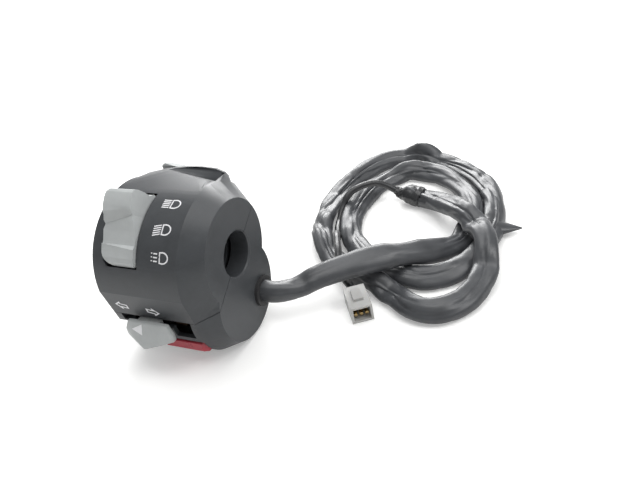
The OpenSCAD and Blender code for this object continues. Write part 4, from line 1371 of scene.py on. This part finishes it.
    def on_facet(self, x: float, z: float) -> FaceMap:
        """Finds the place of a drawing on the flat facet.

        Args:
            x: Its centre along X, in millimetres.
            z: Its height.

        Returns:
            The place.
        """
        (y0, z0), (y1, z1) = self.facet
        share = (z0 - z) / (z0 - z1)
        run = Vector((y0 - y1, z0 - z1)).normalized()
        return FaceMap((x, y0 + (y1 - y0) * share, z), (run.x, run.y))

    def lamp_marks(self) -> None:
        """Prints the high beam, low beam and position lamp signs."""
        heights = [2.1 - 1.05 * k for k in range(5)]
        level = [((-4.9 + 0.12 * k, v), (-0.7, v), 0.55) for k, v in enumerate(heights)]
        dipped = [((-4.7, v - 0.9), (-0.7, v), 0.5) for v in heights]
        short = []
        for v in (1.7, 0.0, -1.7):
            short.append(((-3.4, v), (-1.4, v), self.line))
            short.append(((-4.7, v + 0.15), (-4.0, v + 0.15), 0.5))
        signs = (
            ("mark_high_beam", (7.4, 106), (-0.2, 2.7, 5.2), level),
            ("mark_low_beam", (8.0, 127), (-0.2, 2.7, 5.0), dipped),
            ("mark_position_lamp", (9.0, 147), (-0.4, 2.8, 5.0), short),
        )
        for name, place, bowl, beams in signs:
            sign = Mark()
            sign.outline(lamp_bowl(*bowl), self.line)
            for start, end, width in beams:
                sign.bar(start, end, width)
            sign.printed(name, self.on_face(*place), Body.CASE)

    def arrow_marks(self) -> None:
        """Prints the two outline arrows of the turn switch."""
        for name, x, z, way in (("mark_turn_left", -20.8, -12.6, -1), ("mark_turn_right", -3.2, -14.2, 1)):
            shape = [(u * way, v - self.arrow_slant * u * way) for u, v in self.arrow]
            arrow = Mark()
            arrow.outline(shape[::way], self.arrow_line)
            arrow.printed(name, self.on_facet(x, z), Body.CASE)


@dataclass
class Switches:
    """The knobs, the turn carriage, the button and the trigger.

    Attributes:
        shells: Moving controls: node, finish, body and width of the edge rounding in metres.
        triangle: Corners of the mark on the turn knob, in X and Z.
        springs: Return springs: node, joint, body, fixed end in Y and travel, in millimetres.
        knob_sides: Outboard and inboard side of the light knob in X, in millimetres.
        knob_foot: Distance from the face's axis below which the light knob keeps its shape.
        creases: Lines across the light knob: heights on the face at both sides, and the outward shift there.
    """

    shells: tuple[tuple[str, Finish, Body, float], ...] = (
        ("light_knob", GREY_PLASTIC, Body.LIGHT, 1.1 * MM),
        ("turn_knob", GREY_PLASTIC, Body.TURN, 0.9 * MM),
        ("turn_carriage", INNER_PLASTIC, Body.SLIDER, 0.4 * MM),
        ("horn_button", RED_PLASTIC, Body.HORN, 0.8 * MM),
        ("pass_trigger", GREY_PLASTIC, Body.PASSING, 0.6 * MM),
    )
    triangle: Rows = ((-14.8, -22.0), (-8.9, -19.3), (-8.5, -24.0))
    springs: tuple[tuple[str, str, Body, float, float], ...] = (
        ("horn_spring", "horn_push", Body.CASE, -12.2, 2.5),
        ("turn_cancel_spring", "turn_cancel", Body.SLIDER, -16.8, 2.0),
    )
    knob_sides: Pair = (-22.5, -4.3)
    knob_foot: float = 35.0
    creases: tuple[Four, ...] = (
        (4.3, 6.7, 0.5, 0.3), (-0.2, 4.8, -1.5, -0.9), (-9.2, -11.0, 0.7, 0.6),
    )

    def build(self) -> None:
        """Makes the shells of the moving controls, their return springs and the turn knob's mark."""
        for node, finish, body, width in self.shells:
            bm = Bench.solid(node)
            if body is Body.LIGHT:
                self.crease(bm)
            shell = Bench.place(f"{node}_shell", bm, finish, body, (node,), 32)
            Bench.soften(shell, width, 24.0, 4)
        for node, joint, body, end, travel in self.springs:
            coil = Bench.place(f"{node}_coil", Bench.solid(node), SPRING_STEEL, body, (node,), 40)
            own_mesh(coil)
        way = Mark()
        way.patch(self.triangle)
        way.printed("mark_turn_knob", Drop("turn_knob"), Body.TURN, 0.12)

    def crease(self, bm: Shape) -> None:
        """Draws the crease under the thumb pad and the step of the lower lug into the light knob.

        Args:
            bm: Shape of the knob.
        """
        centre = FACE_CENTRE * MM
        x0, x1 = self.knob_sides
        for left, right, shift0, shift1 in self.creases:
            a = centre + (Vector((x0, 0, 0)) + FACE_UP * left) * MM
            b = centre + (Vector((x1, 0, 0)) + FACE_UP * right) * MM
            across = (b - a).cross(FACE_OUT).normalized()
            geom = [*bm.verts, *bm.edges, *bm.faces]
            cut = bmesh.ops.bisect_plane(bm, geom=geom, dist=1e-7, plane_co=a, plane_no=across)
            for item in cut["geom_cut"]:
                if not isinstance(item, bmesh.types.BMVert):
                    continue
                if (item.co - centre).dot(FACE_OUT) > self.knob_foot * MM:
                    share = (item.co.x / MM - x0) / (x1 - x0)
                    item.co += FACE_OUT * (shift0 + (shift1 - shift0) * share) * MM


class Internals:
    """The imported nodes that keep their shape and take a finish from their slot."""

    def build(self) -> None:
        """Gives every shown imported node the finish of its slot."""
        for row in frame["record"]["subparts"]:
            obj = frame["nodes"][row["node"]]
            material = Palette.of(SLOT_FINISH[row["material_slot"]])
            if not obj.data.materials:
                obj.data.materials.append(material)
            for place in obj.material_slots:
                place.material = material


def main() -> None:
    """Builds the scene in order."""
    logging.basicConfig(level=logging.INFO, format="%(name)s: %(message)s")
    for part in (Studio(), Loom(), Case(), Switches(), Internals()):
        log.info("building %s", type(part).__name__)
        part.build()
    bpy.context.view_layer.update()


if __name__ == "__main__":
    main()
